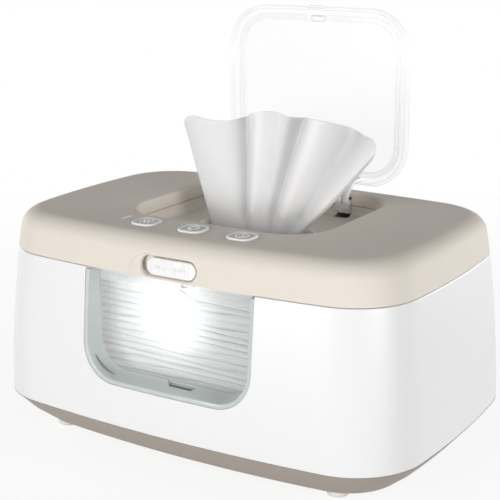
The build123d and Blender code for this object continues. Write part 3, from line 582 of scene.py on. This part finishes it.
def flowing(points, count, turns=3):
    """Smooth line near a few guide points: corners cut again and again, then even steps."""
    line = np.asarray(points, float)
    for _ in range(turns):
        early, late = line[:-1] * 0.75 + line[1:] * 0.25, line[:-1] * 0.25 + line[1:] * 0.75
        between = np.stack([early, late], 1).reshape(-1, line.shape[1])
        line = np.concatenate([line[:1], between, line[-1:]])
    length = np.concatenate([[0], np.cumsum(np.linalg.norm(np.diff(line, axis=0), axis=1))])
    even = np.linspace(0, length[-1], count)
    return np.stack([np.interp(even, length, line[:, k]) for k in range(line.shape[1])], -1)


# ---- Housing ----
def shell_lean(z):
    """How far the shell lies inside the widest line: a power of the height above the pan."""
    return SHELL_DRAFT * np.clip((z - PAN_TOP) / (PARTING - PAN_TOP), 0, 1) ** SHELL_CURVE


def window_prism(half, bottom, radius, top, y):
    """Closed block whose outline is an open-topped window drawn in X and Z."""
    turn = arc(0, 90, 14)
    corner = np.stack([half - radius + radius * np.sin(turn), bottom + radius - radius * np.cos(turn)], -1)
    right = np.concatenate([[[0, bottom]], corner, [[half, top]]])
    return upright_block(np.concatenate([right, right[::-1][:-1] * (-1, 1)]), y)


EAR_SPANS = both_sides(43.7, 50.7) + both_sides(65.3, 72.3)
LID_POCKETS = both_sides(18.9, 27.1)


def make_shell():
    """Outer wall: plan outlines stacked up its lean, over the rounded rim and down the inside."""
    z = np.concatenate([[19.66, 19.66, 19.74, 19.95, 20.3], np.linspace(22, 95.7, 34),
                        [96.05, 96.26, 96.34, 96.34], np.linspace(95, 22, 12), [19.66]])
    inward = np.concatenate([[WALL, 0.5, 0.18, 0.04, 0], np.zeros(34), [0.05, 0.2, 0.45, WALL],
                             np.full(12, WALL), [WALL]])
    shell = loose("shell", [grid(at_heights(body_outline(shell_lean(z) + inward), z), close_rows=True)])
    cuts = [window_prism(48.5, 40.5, 19.0, 100.0, (-90, -60)),
            rod_patch(40.0, (70, 90), 31.0, 4.9, "y", 48)]
    for middle in (-HINGE_X, HINGE_X):
        cuts.append(rod_patch((middle - 7.3, middle + 7.3), HINGE_Y, HINGE_Z, KNUCKLE_R + GAP))
    carve(shell, cuts)
    return finished(shell, "base", "shell_plastic", ["outer_shell"])


def ear(span, web):
    """Hinge ear: a knuckle and the web that joins it to the wall."""
    return [rod_patch(span, HINGE_Y, HINGE_Z, KNUCKLE_R, points=40), plate_patch(span, web)]


def make_shell_ears():
    """Rear hinge ears of the shell, two on each side of a cover knuckle."""
    web = [(73.0, 95.9), (73.4, 87.0), (77.7, 94.0), (79.2, 95.8), (HINGE_Y, HINGE_Z)]
    patches = [patch for span in EAR_SPANS for patch in ear(span, web)]
    return finished(loose("shell_ears", patches), "base", "shell_plastic")


def cover_inset(z):
    """How far the cover's drafted side lies inside the widest line."""
    return SHELL_DRAFT + (z - COVER_LOW) * (COVER_START - SHELL_DRAFT) / (COVER_BEND - COVER_LOW)


def cover_rows():
    """Insets and heights of the cover's outside: rim, drafted side, then the shoulder's arc."""
    side_z = np.linspace(COVER_LOW + 0.45, COVER_BEND, 9)[:-1]
    roll = arc(10, 90, 20)
    inset = [[SHELL_DRAFT + 0.4, SHELL_DRAFT + 0.12, SHELL_DRAFT + 0.03], cover_inset(side_z),
             COVER_START + SHOULDER_R * (math.cos(COVER_DRAFT) - np.cos(roll))]
    z = [[COVER_LOW, COVER_LOW + 0.06, COVER_LOW + 0.2], side_z, TOP - SHOULDER_R + SHOULDER_R * np.sin(roll)]
    return np.concatenate(inset), np.concatenate(z)


def well_outline(grow):
    """Plan outline of the dispensing well, grown all round."""
    grow = np.atleast_1d(np.asarray(grow, float))
    return soft_rectangle(WELL_X + grow, WELL_Y + grow, WELL_R + grow, WELL_MIDDLE)


def make_cover():
    """Cover: outlines up the side and over the shoulder, a flat deck drawn between shoulder and well,
    the well's rolled edge and wall, then back under the deck to the rim."""
    inset, z = cover_rows()
    outside = at_heights(body_outline(inset), z)
    deck_outer, deck_inner = outside[-1], at_heights(well_outline(DECK_EDGE_R), [TOP])[0]
    share = np.linspace(0, 1, 8)[1:-1, None, None]
    deck = deck_outer * (1 - share) + deck_inner * share
    roll = arc(90, 0, 9)
    edge = at_heights(well_outline(DECK_EDGE_R * (1 - np.cos(roll))), TOP - DECK_EDGE_R * (1 - np.sin(roll)))
    turn = arc(0, 90, 7)
    wall_grow = np.concatenate([[0.0], 1.1 - 1.1 * np.cos(turn), [2.0, 2.0]])
    wall_z = np.concatenate([[112.0], 109.5 - 1.1 * np.sin(turn), [108.4, 113.6]])
    wall = at_heights(well_outline(wall_grow), wall_z)
    under = at_heights(body_outline([16.9, 12.28, 9.82, 8.1]), [113.6, 111.9, 107.65, COVER_LOW])
    rows = np.concatenate([outside, deck, edge, wall, under])
    cover = loose("cover_skin", [grid(rows, close_rows=True)])
    cuts = [cushion(7.1, 7.1, 4.9, (x, BUTTON_Y), [110, 118]) for x in BUTTON_X]
    cuts += [cushion(0.95, 4.2, 0.94, (-42.6, -48.0), [110, 118]), pocket_patch(), step_patch()]
    cuts += [rod_patch((low - GAP, high + GAP), HINGE_Y, HINGE_Z, KNUCKLE_R + GAP) for low, high in EAR_SPANS]
    cuts += [box_patch(span, (57.0, 61.6), (98.0, 113.5)) for span in LID_POCKETS]
    carve(cover, cuts)
    return finished(cover, "cover", "cover_plastic", ["cover"])


def make_cover_fittings():
    """Hinge knuckles of the cover, the lid's hinge cheeks and the latch pocket's back wall."""
    web = [(72.1, 97.2), (71.3, 104.0), (77.0, 99.4), (79.1, 97.5), (HINGE_Y, HINGE_Z)]
    cheek = [(59.5, 99.0), (71.2, 99.0), (71.2, 107.6), (68.6, 111.9), (64.4, 113.8), (59.5, 113.9)]
    patches = [patch for span in both_sides(HINGE_X - 7, HINGE_X + 7) for patch in ear(span, web)]
    patches += [plate_patch(span, cheek) for span in both_sides(16.9, 18.3) + both_sides(30.8, 32.2)]
    patches.append(upright_block(pill_outline((-16.3, 18.3), 11.8), (LATCH_FLOOR, LATCH_FLOOR + 1.5)))
    return finished(loose("cover_fittings", patches), "cover", "cover_plastic")


def pill_outline(x, height, straight=20, round_points=13):
    """Closed pill in X and Z on the latch's height, from its lower left."""
    radius = height / 2
    low, high = x[0] + radius, x[1] - radius
    line = np.linspace(low, high, straight)
    right, left = arc(-90, 90, round_points)[1:-1], arc(90, 270, round_points)[1:-1]
    parts = [np.column_stack([line, np.full(straight, -radius)]), about(high, 0, radius, right),
             np.column_stack([line[::-1], np.full(straight, radius)]), about(low, 0, radius, left)]
    return np.concatenate(parts) + (0, LATCH_Z)


def pocket_patch():
    """Latch pocket: a pill whose edge rolls out over the cover's side."""
    rows = []
    for wider, sunk in ((0.75, -3.0), (0.75, -0.02), (0.7, 0.0), (0.52, 0.1), (0.28, 0.3), (0.1, 0.55),
                        (0.0, 0.9), (0.0, None)):
        span = (LATCH_SLOT_X[0] - wider, LATCH_SLOT_X[1] + wider)
        outline = pill_outline(span, LATCH_SLOT_H + 2 * wider)
        wall = front_y(outline[:, 0], cover_inset(outline[:, 1]))
        rows.append(upright(outline, LATCH_FLOOR if sunk is None else wall + sunk))
    return closed(np.array(rows))


def step_patch():
    """Shallow moulded step that climbs from the cover's rim to the latch pocket: a thin rod along it."""
    path = flowing([(-22.2, 95.8), (-21.4, 99.5), (-20.4, 102.5), (-18.2, 105.0), (-15.0, 107.2),
                    (-10.5, 108.4)], 60)
    section = ring_path(0, 0, 0.3, 0, 315, 8)[:, ::-1]
    return tube_patch(upright(path, front_y(path[:, 0], cover_inset(path[:, 1]))), section, (0.0, 1.0, 0.0))


def make_tray():
    """Lower well: flange, wall with a soft corner into the floor, raised lip round the mouth, underside."""
    down, lead = arc(0, 90, 7), arc(90, 0, 6)
    grow = np.concatenate([[4.6, 4.6], 0.9 - 0.9 * np.cos(lead), [0.0], -2.5 + 2.5 * np.cos(down), [-6.0]])
    z = np.concatenate([[106.3, 108.3], 107.4 + 0.9 * np.sin(lead), [105.8],
                        TRAY_FLOOR + 2.5 - 2.5 * np.sin(down), [TRAY_FLOOR]])
    wall = at_heights(well_outline(grow), z)
    over = arc(0, 180, 11)
    lip_grow = np.concatenate([[4.0], 1.25 + 1.25 * np.cos(over), [0.0, 0.2, 4.0]])
    lip_z = np.concatenate([[TRAY_FLOOR], TRAY_FLOOR + np.sin(over), [101.2, 101.0, 101.0]])
    mouth = soft_rectangle(32.0 + lip_grow, 13.0 + lip_grow, 12.9 + lip_grow, (-2.0, 8.0))
    lip = at_heights(mouth, lip_z)
    under = at_heights(well_outline([0.0, 2.0, 2.0]), [101.0, 101.0, 106.3])
    tray = loose("well_tray", [grid(np.concatenate([wall, lip, under]), close_rows=True)])
    carve(tray, [box_patch(span, (53.1, 80.0), (95.0, 112.0)) for span in LID_POCKETS])
    return finished(tray, "cover", "tray_plastic", ["dispensing_tray", "mouth_plate"])


# ---- Window ----
def window_path(half, bottom, radius, top):
    """Open path down the window's left side, along its bottom and up the right, in X and Z."""
    turn = arc(0, 90, 19)
    right_x = np.concatenate([np.linspace(0, half - radius, 16)[:-1], half - radius + radius * np.sin(turn),
                              np.full(16, half)])
    right_z = np.concatenate([np.full(15, bottom), bottom + radius - radius * np.cos(turn),
                              np.linspace(bottom + radius, top, 17)[1:]])
    right = np.column_stack([right_x, right_z])
    return np.concatenate([right[:0:-1] * (-1, 1), right])


def make_window():
    """Clear tub: a lip that follows the front wall, drafted side walls and the pane, all on one path
    that is drawn in step by step, then drawn together across the pane."""
    lip = [(48.4, 40.6, 18.9, 0.62), (48.35, 40.65, 18.85, 0.4), (48.2, 40.8, 18.7, 0.3),
           (46.75, 42.2, 17.3, 0.3), (46.4, 42.6, 16.9, 0.42), (46.2, 42.8, 16.7, 0.75)]
    rows = []
    for half, bottom, radius, sunk in lip:
        path = window_path(half, bottom, radius, WINDOW_TOP)
        rows.append(upright(path, front_y(path[:, 0], shell_lean(path[:, 1])) + sunk))
    mouth = rows[-1]
    back = upright(window_path(44.6, 44.2, 15.0, WINDOW_TOP), PANE_Y)
    for share in np.linspace(0, 0.85, 8)[1:]:
        rows.append(mouth * (1 - share) + back * share)
    middle = np.array([0.0, PANE_Y, WINDOW_TOP])
    for turn in arc(0, 90, 6):
        share = 0.026 * (1 - math.cos(turn))
        rows.append(back * (1 - share) + middle * share + (0, -1.2 * (1 - math.sin(turn)), 0))
    for share in np.linspace(0.06, 1, 24):
        rows.append(back * (1 - share) + middle * share)
    window = loose("window_tub", [grid(np.array(rows), close_columns=False)], outward=False)
    thicken(window, 1.5, -1.0)
    clip_slot = [(-0.5, -73.6), (12.0, -73.6), (12.5, -68.6), (-5.0, -68.6)]
    carve(window, [closed(np.array([[(x, y, z) for x, y in clip_slot] for z in (38.0, 47.5)]))])
    finished(window, "base", "window_plastic", ["window_insert"], weighted=False)


def make_window_trim():
    """Curved seam of the tub's lower left corner, a round rod that thins at both ends along an arc, a dark
    grey plate under the clip slot that stands in for its shade, and the catch's white tab."""
    count, depth = 24, 0.2
    curve = about(-29.6, 59.4, 16.2 - 1.7 * depth, -np.pi / 2 - arc(8, 64, count))
    taper = np.sin(np.linspace(0.12, np.pi - 0.12, count))[:, None, None]
    path, section = upright(curve, -77.0 + 10.0 * depth), ring_path(0, 0, 0.6, 0, 330, 12)
    seam = tube_patch(path, section, (0.0, 1.0, 0.0), taper)
    # painted shade: a dark grey plate under the clip slot stands in for the shade inside it
    shade = box_patch((-5.5, 14.5), (-74.0, -68.2), (41.3, 42.0))
    finished(loose("window_seam_and_slot_shade", [seam, shade]), "base", "window_plastic", finish="seam_and_shade_grey")
    tab = loose("window_tab", [box_patch((5.3, 12.6), (-70.4, -66.9), (94.2, 94.9))])
    finished(tab, "base", "window_plastic", finish="tab_white")


# ---- Wipes ----
def make_stack():
    """Folded wipes: a soft block whose sides draw in between the folds, each fold a little out of line."""
    z = np.linspace(STACK_LOW, STACK_TOP, 171)
    fold = np.abs(np.sin(np.pi * (z - STACK_LOW) / FOLD_PITCH)) ** 0.6
    inset = 0.75 * (1 - fold) + 0.35 * np.sin(z * 1.7) ** 2
    top = arc(15, 90, 6)
    inset = np.concatenate([inset, 0.6 + 5 * (1 - np.cos(top))])
    z = np.concatenate([z, STACK_TOP + 0.6 * np.sin(top)])
    points = at_heights(soft_rectangle(97.0 - inset, 55.0 - inset, np.full(len(z), 8.0), (0, -4.5)), z)
    x, level = points[..., 0], points[..., 2]
    sag = np.clip((level - 28) / 20, 0, 1) * np.clip((86 - level) / 8, 0, 1)
    points[..., 2] += sag * (0.45 * np.sin(x * 0.061 + level * 0.31) + 0.25 * np.sin(x * 0.17 + level * 0.9))
    points[..., 1] += sag * 0.35 * np.sin(level * 1.3) * np.sin(x * 0.045 + level)
    block = loose("wipe_block", [closed(points)])
    return finished(block, "base", "wipe_fabric", ["wipe_stack"], "wipe_block")


def make_sheet():
    """Wipe drawn up through the slit: rays from a narrow foot to a wavy top edge. Each ray's distance
    to the front is a soft line of folds, three ridges and three hollows, that grows upwards and dies
    out at the slit."""
    count, rise = 281, 97
    u, v = np.linspace(0, 1, count), np.linspace(0, 1, rise)[:, None]
    top = flowing([(-42.4, 150.5), (-43.7, 153.2), (-43.8, 156.2), (-42.0, 159.0), (-38.6, 160.4),
                   (-34, 160.1), (-27, 158.4), (-15, 158.6), (-3, 164), (8, 166.8), (16, 163.8),
                   (24, 162.2), (34, 165.4), (43, 164.2), (49, 159), (56, 157.2), (63.6, 157.6),
                   (67.8, 155.8), (68.6, 152.0), (66.6, 148.6), (63, 145.3)], count)
    foot_share = np.interp(u, [0, 0.315, 0.427, 0.575, 0.667, 0.778, 1],
                           [0, 0.40, 0.485, 0.66, 0.76, 0.90, 1])
    foot_x = -29 + 52 * foot_share
    lift = v ** 0.97
    x = foot_x + (top[:, 0] - foot_x) * lift + 0.9 * np.sin(np.pi * v ** 0.8) * np.clip(2 * u - 1, 0, 1) ** 5
    z = SLIT_Z + (top[:, 1] - SLIT_Z) * v
    line = [(0, 0.1), (0.05, 0.45), (0.14, 0.5), (0.23, 0.15), (0.29, -0.35), (0.315, -0.8),
            (0.345, -0.1), (0.39, 0.75), (0.43, 0.95), (0.465, 0.2), (0.49, -0.2), (0.515, 0.0),
            (0.545, -0.5), (0.575, -0.9), (0.605, 0.0), (0.645, 0.9), (0.69, 0.95), (0.73, 0.1),
            (0.765, -1.0), (0.80, -0.95), (0.85, -0.1), (0.91, 0.45), (0.96, 0.35), (1, -0.25)]
    guide = flowing(line, 500, 2)
    shape = np.interp(u, guide[:, 0], guide[:, 1])
    depth = 0.4 + 3.0 * np.clip(v * 6, 0, 1) ** 1.4 + 5.0 * v ** 1.3
    slack = 0.35 * np.sin(2.6 * v + 9 * u) * np.sin(np.pi * v) + 0.12 * np.sin(31 * u + 5 * v) * v
    y = SLIT_Y - depth * (shape + 0.35 * slack) - 1.2 * np.sin(np.pi * u) * v
    below = np.linspace(87.5, 101.6, 12)[:, None]
    tuck = np.clip((below - 97) / 5, 0, 1)
    lower = np.broadcast_arrays(foot_x * (0.82 + 0.18 * tuck), SLIT_Y - 0.4 * shape, below)
    rows = np.concatenate([np.stack(lower, -1), np.stack([x, y, z], -1)])
    sheet = loose("drawn_wipe", [grid(rows, close_columns=False)], outward=False)
    # painted shade for the cloth's colour: lower in the hollows of the folds, towards the left edge and below
    # the slit
    painted_fold_shade = 0.62 + 0.45 * np.clip(shape, -1, 1) * np.clip(0.35 + v, 0, 1) - 0.3 * np.clip(1 - u / 0.3, 0, 1)
    painted_fold_shade = np.concatenate([np.full((len(below), count), 0.4), painted_fold_shade]).astype(np.float32)
    sheet.data.attributes.new("fold", "FLOAT", "POINT").data.foreach_set("value", painted_fold_shade.ravel())
    thicken(sheet, 0.35, 0.0)
    finished(sheet, "cover", "wipe_fabric", ["wipe_sheet"], "drawn_wipe", crease=60, weighted=False)
    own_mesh(sheet)


# ---- Flip lid ----
OPENED = Matrix(((1, 0, 0, 0), (0, 0, 1, (AXIS_Y - AXIS_Z) * MM),
                 (0, -1, 0, (AXIS_Y + AXIS_Z) * MM), (0, 0, 0, 1)))


def on_lid(piece, slot="clear_lid_plastic", replaces=(), **more):
    """Finishes a piece drawn on the closed lid and turns it up with the lid."""
    piece.data.transform(OPENED)
    return finished(piece, "flip_lid", slot, replaces, **more)


def lid_outline(inset):
    """Plan outline of the closed flip lid, drawn in all round."""
    inset = np.atleast_1d(np.asarray(inset, float))
    return soft_rectangle(54.6 - inset, 47.5 - inset, np.maximum(23.0 - inset, 4.0), (0.0, 10.5))


def make_lid():
    """Clear lid: flat top, rolled edge, skirt with a rounded lip, and the inside back to the middle."""
    out, lip, into = arc(90, 0, 10), arc(0, -180, 9), arc(0, 90, 6)
    inset = np.concatenate([[34.0, 20.0, 9.0, 4.0], 1.6 - 1.6 * np.cos(out), [0.0], 0.85 - 0.85 * np.cos(lip),
                            [1.7], 3.1 - 1.4 * np.cos(into), [6.0, 12.0, 24.0, 34.0]])
    z = np.concatenate([[TOP] * 4, TOP - 1.6 + 1.6 * np.sin(out), [111.0], 110.05 + 0.85 * np.sin(lip),
                        [112.0], 112.7 + 1.4 * np.sin(into), [114.1] * 4])
    lid = loose("lid_shell", [closed(at_heights(lid_outline(inset), z))])
    carve(lid, [rod_patch((-60, 60), AXIS_Y, AXIS_Z, 9.2, points=64)])
    on_lid(lid, replaces=["flip_lid"])
    tip = np.array([0.0, 0.0, 0.25, 0.8])
    nub = cushion(4.5 - tip, 1.6 - tip, 1.5 - tip, (0, -30.6), [114.3, 112.6, 112.1, 111.8])
    edge = np.array([0.5, 0.1, 0.0, 0.1, 0.5])
    grip = cushion(5.0 - edge, 0.8 - edge, 0.7 - edge, (0, -36.9), [110.2, 110.35, 110.8, 111.25, 111.4])
    on_lid(loose("lid_nub", [nub, grip]), finish="lid_fingers")


def make_lid_fingers():
    """Goosenecks: a soft-edged section carried down from the lid, round the deck's edge and in to the pin."""
    bend = ring_path(AXIS_Y, AXIS_Z, NECK_R, 180, 262, 14)
    path = np.concatenate([[(55.4, 115.2), (55.4, 113.0), (55.4, 111.5)], bend,
                           [(65.2, 100.6), (65.6, 103), (66, 108)]])
    path = flowing(path, 60, 2)
    ring = ring_path(0, 0, 1, 0, 345, 24)
    section = (1.95, 1.6) * np.sign(ring) * np.abs(ring) ** 0.7
    patches = []
    for x in (-25.0, -21.0, 21.0, 25.0):
        patches.append(tube_patch(np.column_stack([np.full(len(path), x), path]), section))
        patches.append(rod_patch((x - 1.5, x + 1.5), AXIS_Y, AXIS_Z, 2.4))
    on_lid(loose("lid_goosenecks", patches), finish="lid_fingers")


def make_lid_tails():
    """Ribbed sectors round the pin: small ribs on the goosenecks' arc, cut off straight beside the deck."""
    turn = arc(270, 362, 139)
    reach = np.interp(np.degrees(turn), [325, 345], [5.4, 3.4])
    radius = np.minimum(NECK_R + 0.6 * np.sin(turn * 24) ** 2, reach / np.maximum(np.cos(turn), 0.1))
    outline = np.concatenate([about(AXIS_Y, AXIS_Z, radius, turn), about(AXIS_Y, AXIS_Z, 2.3, turn[::-1])])
    tails = loose("lid_tails", [plate_patch(span, outline) for span in both_sides(19.1, 26.9)])
    on_lid(tails, finish="stop_grey", crease=60)


def make_gasket():
    """Soft double ring: one profile with two rounded lips, carried round inside the lid."""
    lips = [ring_path(middle, 113.1, 0.5, -180, 0, 9) for middle in (4.9, 7.3)]
    profile = np.concatenate([[(4.4, 114.1)], lips[0], [(5.4, 113.6), (6.8, 113.6)], lips[1], [(7.8, 114.1)]])
    gasket = loose("lid_ring", [grid(at_heights(lid_outline(profile[:, 0]), profile[:, 1]), close_rows=True)])
    carve(gasket, [rod_patch((-60, 60), AXIS_Y, AXIS_Z, 13.0, points=64),
                   box_patch((-7, 7), (-34.6, -26.6), (105, 120))])
    on_lid(gasket, "silicone", ["lid_gasket"], finish="lid_ring")


# ---- Buttons and latch ----
def line_patch(path, z, width, height):
    """Raised line on a flat face: a half-round section carried along a path in X and Y."""
    turn = arc(0, 180, 7)
    section = np.column_stack([(height + 0.1) * np.sin(turn), -width / 2 * np.cos(turn)])
    return tube_patch(np.column_stack([path, np.full(len(path), z - 0.1)]), section, (0.0, 0.0, 1.0))


def icon_paths(kind, x, y):
    """Strokes of a plain symbol: rising heat, a lamp, or a clock."""
    if kind == "heat":
        rise = np.linspace(-3.1, 3.1, 24)
        wave = x + 0.5 * np.sin(rise * 2.0)
        return [np.column_stack([wave + side, y + rise]) for side in (-2.3, 0.0, 2.3)]
    if kind == "light":
        return [ring_path(x, y + 0.8, 2.5, -55, 235), [(x - 1.3, y - 2.1), (x + 1.3, y - 2.1)],
                [(x - 0.9, y - 3.2), (x + 0.9, y - 3.2)]]
    return [ring_path(x, y, 3.2), [(x, y + 2.1), (x, y), (x + 1.6, y - 0.9)]]


def make_button(kind, x):
    """Soft square cap: side, rolled edge and rim; an inlaid face with a low crown, painted grey as shade on
    the white cap's top, and a raised symbol.
    """
    y, body = BUTTON_Y, "button_" + kind
    roll = arc(0, 90, 7)
    half = np.concatenate([[6.8, 6.8], 6.25 + 0.55 * np.cos(roll), [5.6, 5.38, 5.3, 5.3]])
    z = np.concatenate([[113.1, 115.5], 116.35 + 0.55 * np.sin(roll), [116.88, 116.8, 116.65, 116.4]])
    rim = cushion(half, half, half - 2.2, (x, y), z)
    flange = [box_patch((x - 7.9, x + 7.9), (y - 7.9, y + 7.9), (112.3, 113.3)),
              box_patch((x - 2, x + 2), (y - 2, y + 2), (112.1, 113.2))]
    finished(loose(body + "_cap", [rim] + flange), body, "white_plastic", [body])
    half = np.array([5.27, 5.27, 5.15, 4.6, 3.6, 2.2])
    # the face is painted grey as shade on the white cap's top
    face = cushion(half, half, half - 2.1, (x, y), [116.45, 116.55, 116.64, 116.68, 116.71, 116.73])
    finished(loose(body + "_face", [face]), body, "white_plastic", finish="button_face")
    strokes = [line_patch(flowing(path, 48, 1), 116.74, 0.85, 0.3) for path in icon_paths(kind, x, y)]
    finished(loose(body + "_symbol", strokes), body, "white_plastic", finish="symbol_white", crease=60,
             weighted=False)


def make_knob():
    """Thumb piece: a pill whose face follows the cover's side, with upright ribs that fade at its edge,
    drawn outwards from the pill's middle line, over a rolled edge and back into the pocket."""
    outline = pill_outline((-11.0, 16.6), 8.2, 181, 19)
    middle_x, half_core = 2.8, 9.7
    core = np.column_stack([np.clip(outline[:, 0], middle_x - half_core, middle_x + half_core),
                            np.full(len(outline), LATCH_Z)])
    edge = 0.86
    roll = edge + (1 - edge) * np.sin(arc(10, 90, 8))
    share = np.concatenate([np.linspace(0, edge, 18), roll])[:, None, None]
    place = core + (outline - core) * share
    x, z, t = place[..., 0], place[..., 1], share[..., 0]
    rib = (0.5 + 0.5 * np.cos(2 * np.pi * (x - middle_x) / 1.75)) ** 1.5
    fade = np.clip((0.8 - t) / 0.1, 0, 1) * np.clip((11.9 - np.abs(x - middle_x)) / 0.8, 0, 1)
    rolled = np.clip((t - edge) / (1 - edge), 0, 1)
    y = front_y(x, cover_inset(z)) - 0.05 - 0.55 * rib * fade + 0.8 * (1 - np.sqrt(1 - rolled ** 2))
    back = [upright(outline, place_y) for place_y in (-73.0, -71.3)]
    knob = loose("latch_thumb", [closed(np.concatenate([np.stack([x, y, z], -1), np.array(back)])),
                                 box_patch((-1.8, 7.4), (-72.0, -68.8), (101.0, 104.0))])
    return finished(knob, "latch_slider", "white_plastic", ["latch_knob"], crease=40)


def coil_patch(x, y, z, radius, wire, pitch, turns):
    """Round wire whose middle runs on a helix along X: turn round the axis against turn round the wire."""
    turn, around = np.linspace(0, 2 * np.pi * turns, 32 * turns + 1)[:, None], arc(0, 330, 12)
    reach = radius + wire / 2 * np.cos(around)
    along = x + pitch * turn / (2 * np.pi) + wire / 2 * np.sin(around)
    return closed(np.stack([along, y + reach * np.cos(turn), z + reach * np.sin(turn)], -1))


def make_springs():
    """Wound springs: two beside the lid's fingers, and the latch's."""
    coils = [coil_patch(x, AXIS_Y, AXIS_Z, 1.75, 0.55, 0.7, 4) for x in (27.2, -30.0)]
    finished(loose("lid_coils", coils), "cover", slot_of["lid_springs"], ["lid_springs"])
    coil = loose("latch_coil", [coil_patch(-16.4, LATCH_FLOOR + 3.5, LATCH_Z, 1.5, 0.45, 1.3, 6)])
    finished(coil, "cover", slot_of["latch_spring"], ["latch_spring"])
    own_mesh(coil)


def make_feet():
    """Rubber feet: a profile of radius and height turned about each foot's middle."""
    roll = arc(-90, 0, 8)
    radius = np.concatenate([[0.5, 2.5], 4.1 + 1.4 * np.cos(roll), [5.5]])
    z = np.concatenate([[0.0, 0.0], 1.4 + 1.4 * np.sin(roll), [4.1]])
    turn = np.linspace(0, 2 * np.pi, 41)[:-1]
    around = radius[:, None] * np.cos(turn), radius[:, None] * np.sin(turn)
    patches = []
    for x in (-81.0, 81.0):
        for y in (-54.0, 54.0):
            patches.append(closed(np.stack([x + around[0], y + around[1], z[:, None] + 0 * turn], -1)))
    names = ["foot_" + end + "_" + side for end in ("front", "rear") for side in ("left", "right")]
    return finished(loose("feet", patches), "base", "foot_rubber", names)


for name, node in nodes.items():
    dress(node, slot_of[name])
    node.modifiers.new("smooth", "NODES").node_group = SMOOTH
    node.modifiers.new("weight", "WEIGHTED_NORMAL").keep_sharp = True
for make in (make_shell, make_shell_ears, make_cover, make_cover_fittings, make_tray, make_window,
             make_window_trim, make_stack, make_sheet, make_lid, make_lid_fingers, make_lid_tails,
             make_gasket):
    make()
for kind, x in zip(("heat", "light", "timer"), BUTTON_X):
    make_button(kind, x)
for make in (make_knob, make_springs, make_feet):
    make()


# ---- Studio ----
def make_floor():
    """Wide pale floor that reads white to the camera and keeps a soft shadow."""
    mesh = bpy.data.meshes.new("floor")
    reach = 6.0
    corners = [(-reach, -reach, 0), (reach, -reach, 0), (reach, reach, 0), (-reach, reach, 0)]
    mesh.from_pydata(corners, [], [(0, 1, 2, 3)])
    floor = bpy.data.objects.new("floor", mesh)
    bpy.context.scene.collection.objects.link(floor)
    f = Finish("floor_paper")
    paper = f.node("BsdfDiffuse", inputs={"Color": rgb(252, 252, 252)}, output="BSDF")
    white = f.node("Emission", inputs={"Color": WHITE, "Strength": 1.0}, output="Emission")
    share = f.plain_rays().clamped() * (1 - f.near((0.0, 0.0, 0.0), 0.6) * 0.14)
    mesh.materials.append(f.close(f.node("MixShader", inputs=[share, paper, white], output="Shader")))


def make_world():
    """Plain white surround: full white to the camera and in reflections, softer as light."""
    world = bpy.data.worlds.new("surround")
    bpy.context.scene.world = world
    f = Finish("surround", world)
    levels = {"Value": f.plain_rays(), "To Min": 0.19, "To Max": 1.0}
    level = f.node("MapRange", inputs=levels, output="Result")
    back = f.node("Background", inputs={"Color": WHITE, "Strength": level}, output="Background")
    f.close(back, "OutputWorld")


def make_lamp(name, place, target, size, power):
    """Square soft lamp that faces a point."""
    data = bpy.data.lights.new(name, "AREA")
    data.size, data.energy = size, power
    lamp = bpy.data.objects.new(name, data)
    lamp.location = place
    lamp.rotation_euler = (Vector(target) - Vector(place)).to_track_quat("-Z", "Y").to_euler()
    bpy.context.scene.collection.objects.link(lamp)


def make_camera():
    """Long lens, a little above the deck and round to the right of the front."""
    azimuth, elevation, roll = math.radians(32.19), math.radians(15.21), math.radians(-0.36)
    target = Vector((-0.6, 0.0, 93.8)) * MM
    distance, lens = 0.6448, 89.97
    back = Vector((math.sin(azimuth) * math.cos(elevation), -math.cos(azimuth) * math.cos(elevation),
                   math.sin(elevation)))
    data = bpy.data.cameras.new("camera")
    data.lens, data.sensor_width = lens, 36.0
    camera = bpy.data.objects.new("camera", data)
    turn = (-back).to_track_quat("-Z", "Y").to_matrix().to_4x4()
    camera.matrix_world = Matrix.Translation(target + back * distance) @ turn @ Matrix.Rotation(roll, 4, "Z")
    bpy.context.scene.collection.objects.link(camera)
    bpy.context.scene.camera = camera


make_floor()
make_world()
for name, place, power in (("key", (-0.45, -1.5, 0.29), 13.8), ("side", (1.48, -0.65, 0.29), 11),
                           ("rear", (0.85, 1.35, 0.29), 8), ("left", (-1.5, 0.4, 0.29), 4.5)):
    make_lamp(name, place, (0, 0, 0.07), 0.6, power)
make_camera()
bpy.context.scene.view_settings.view_transform = "Standard"
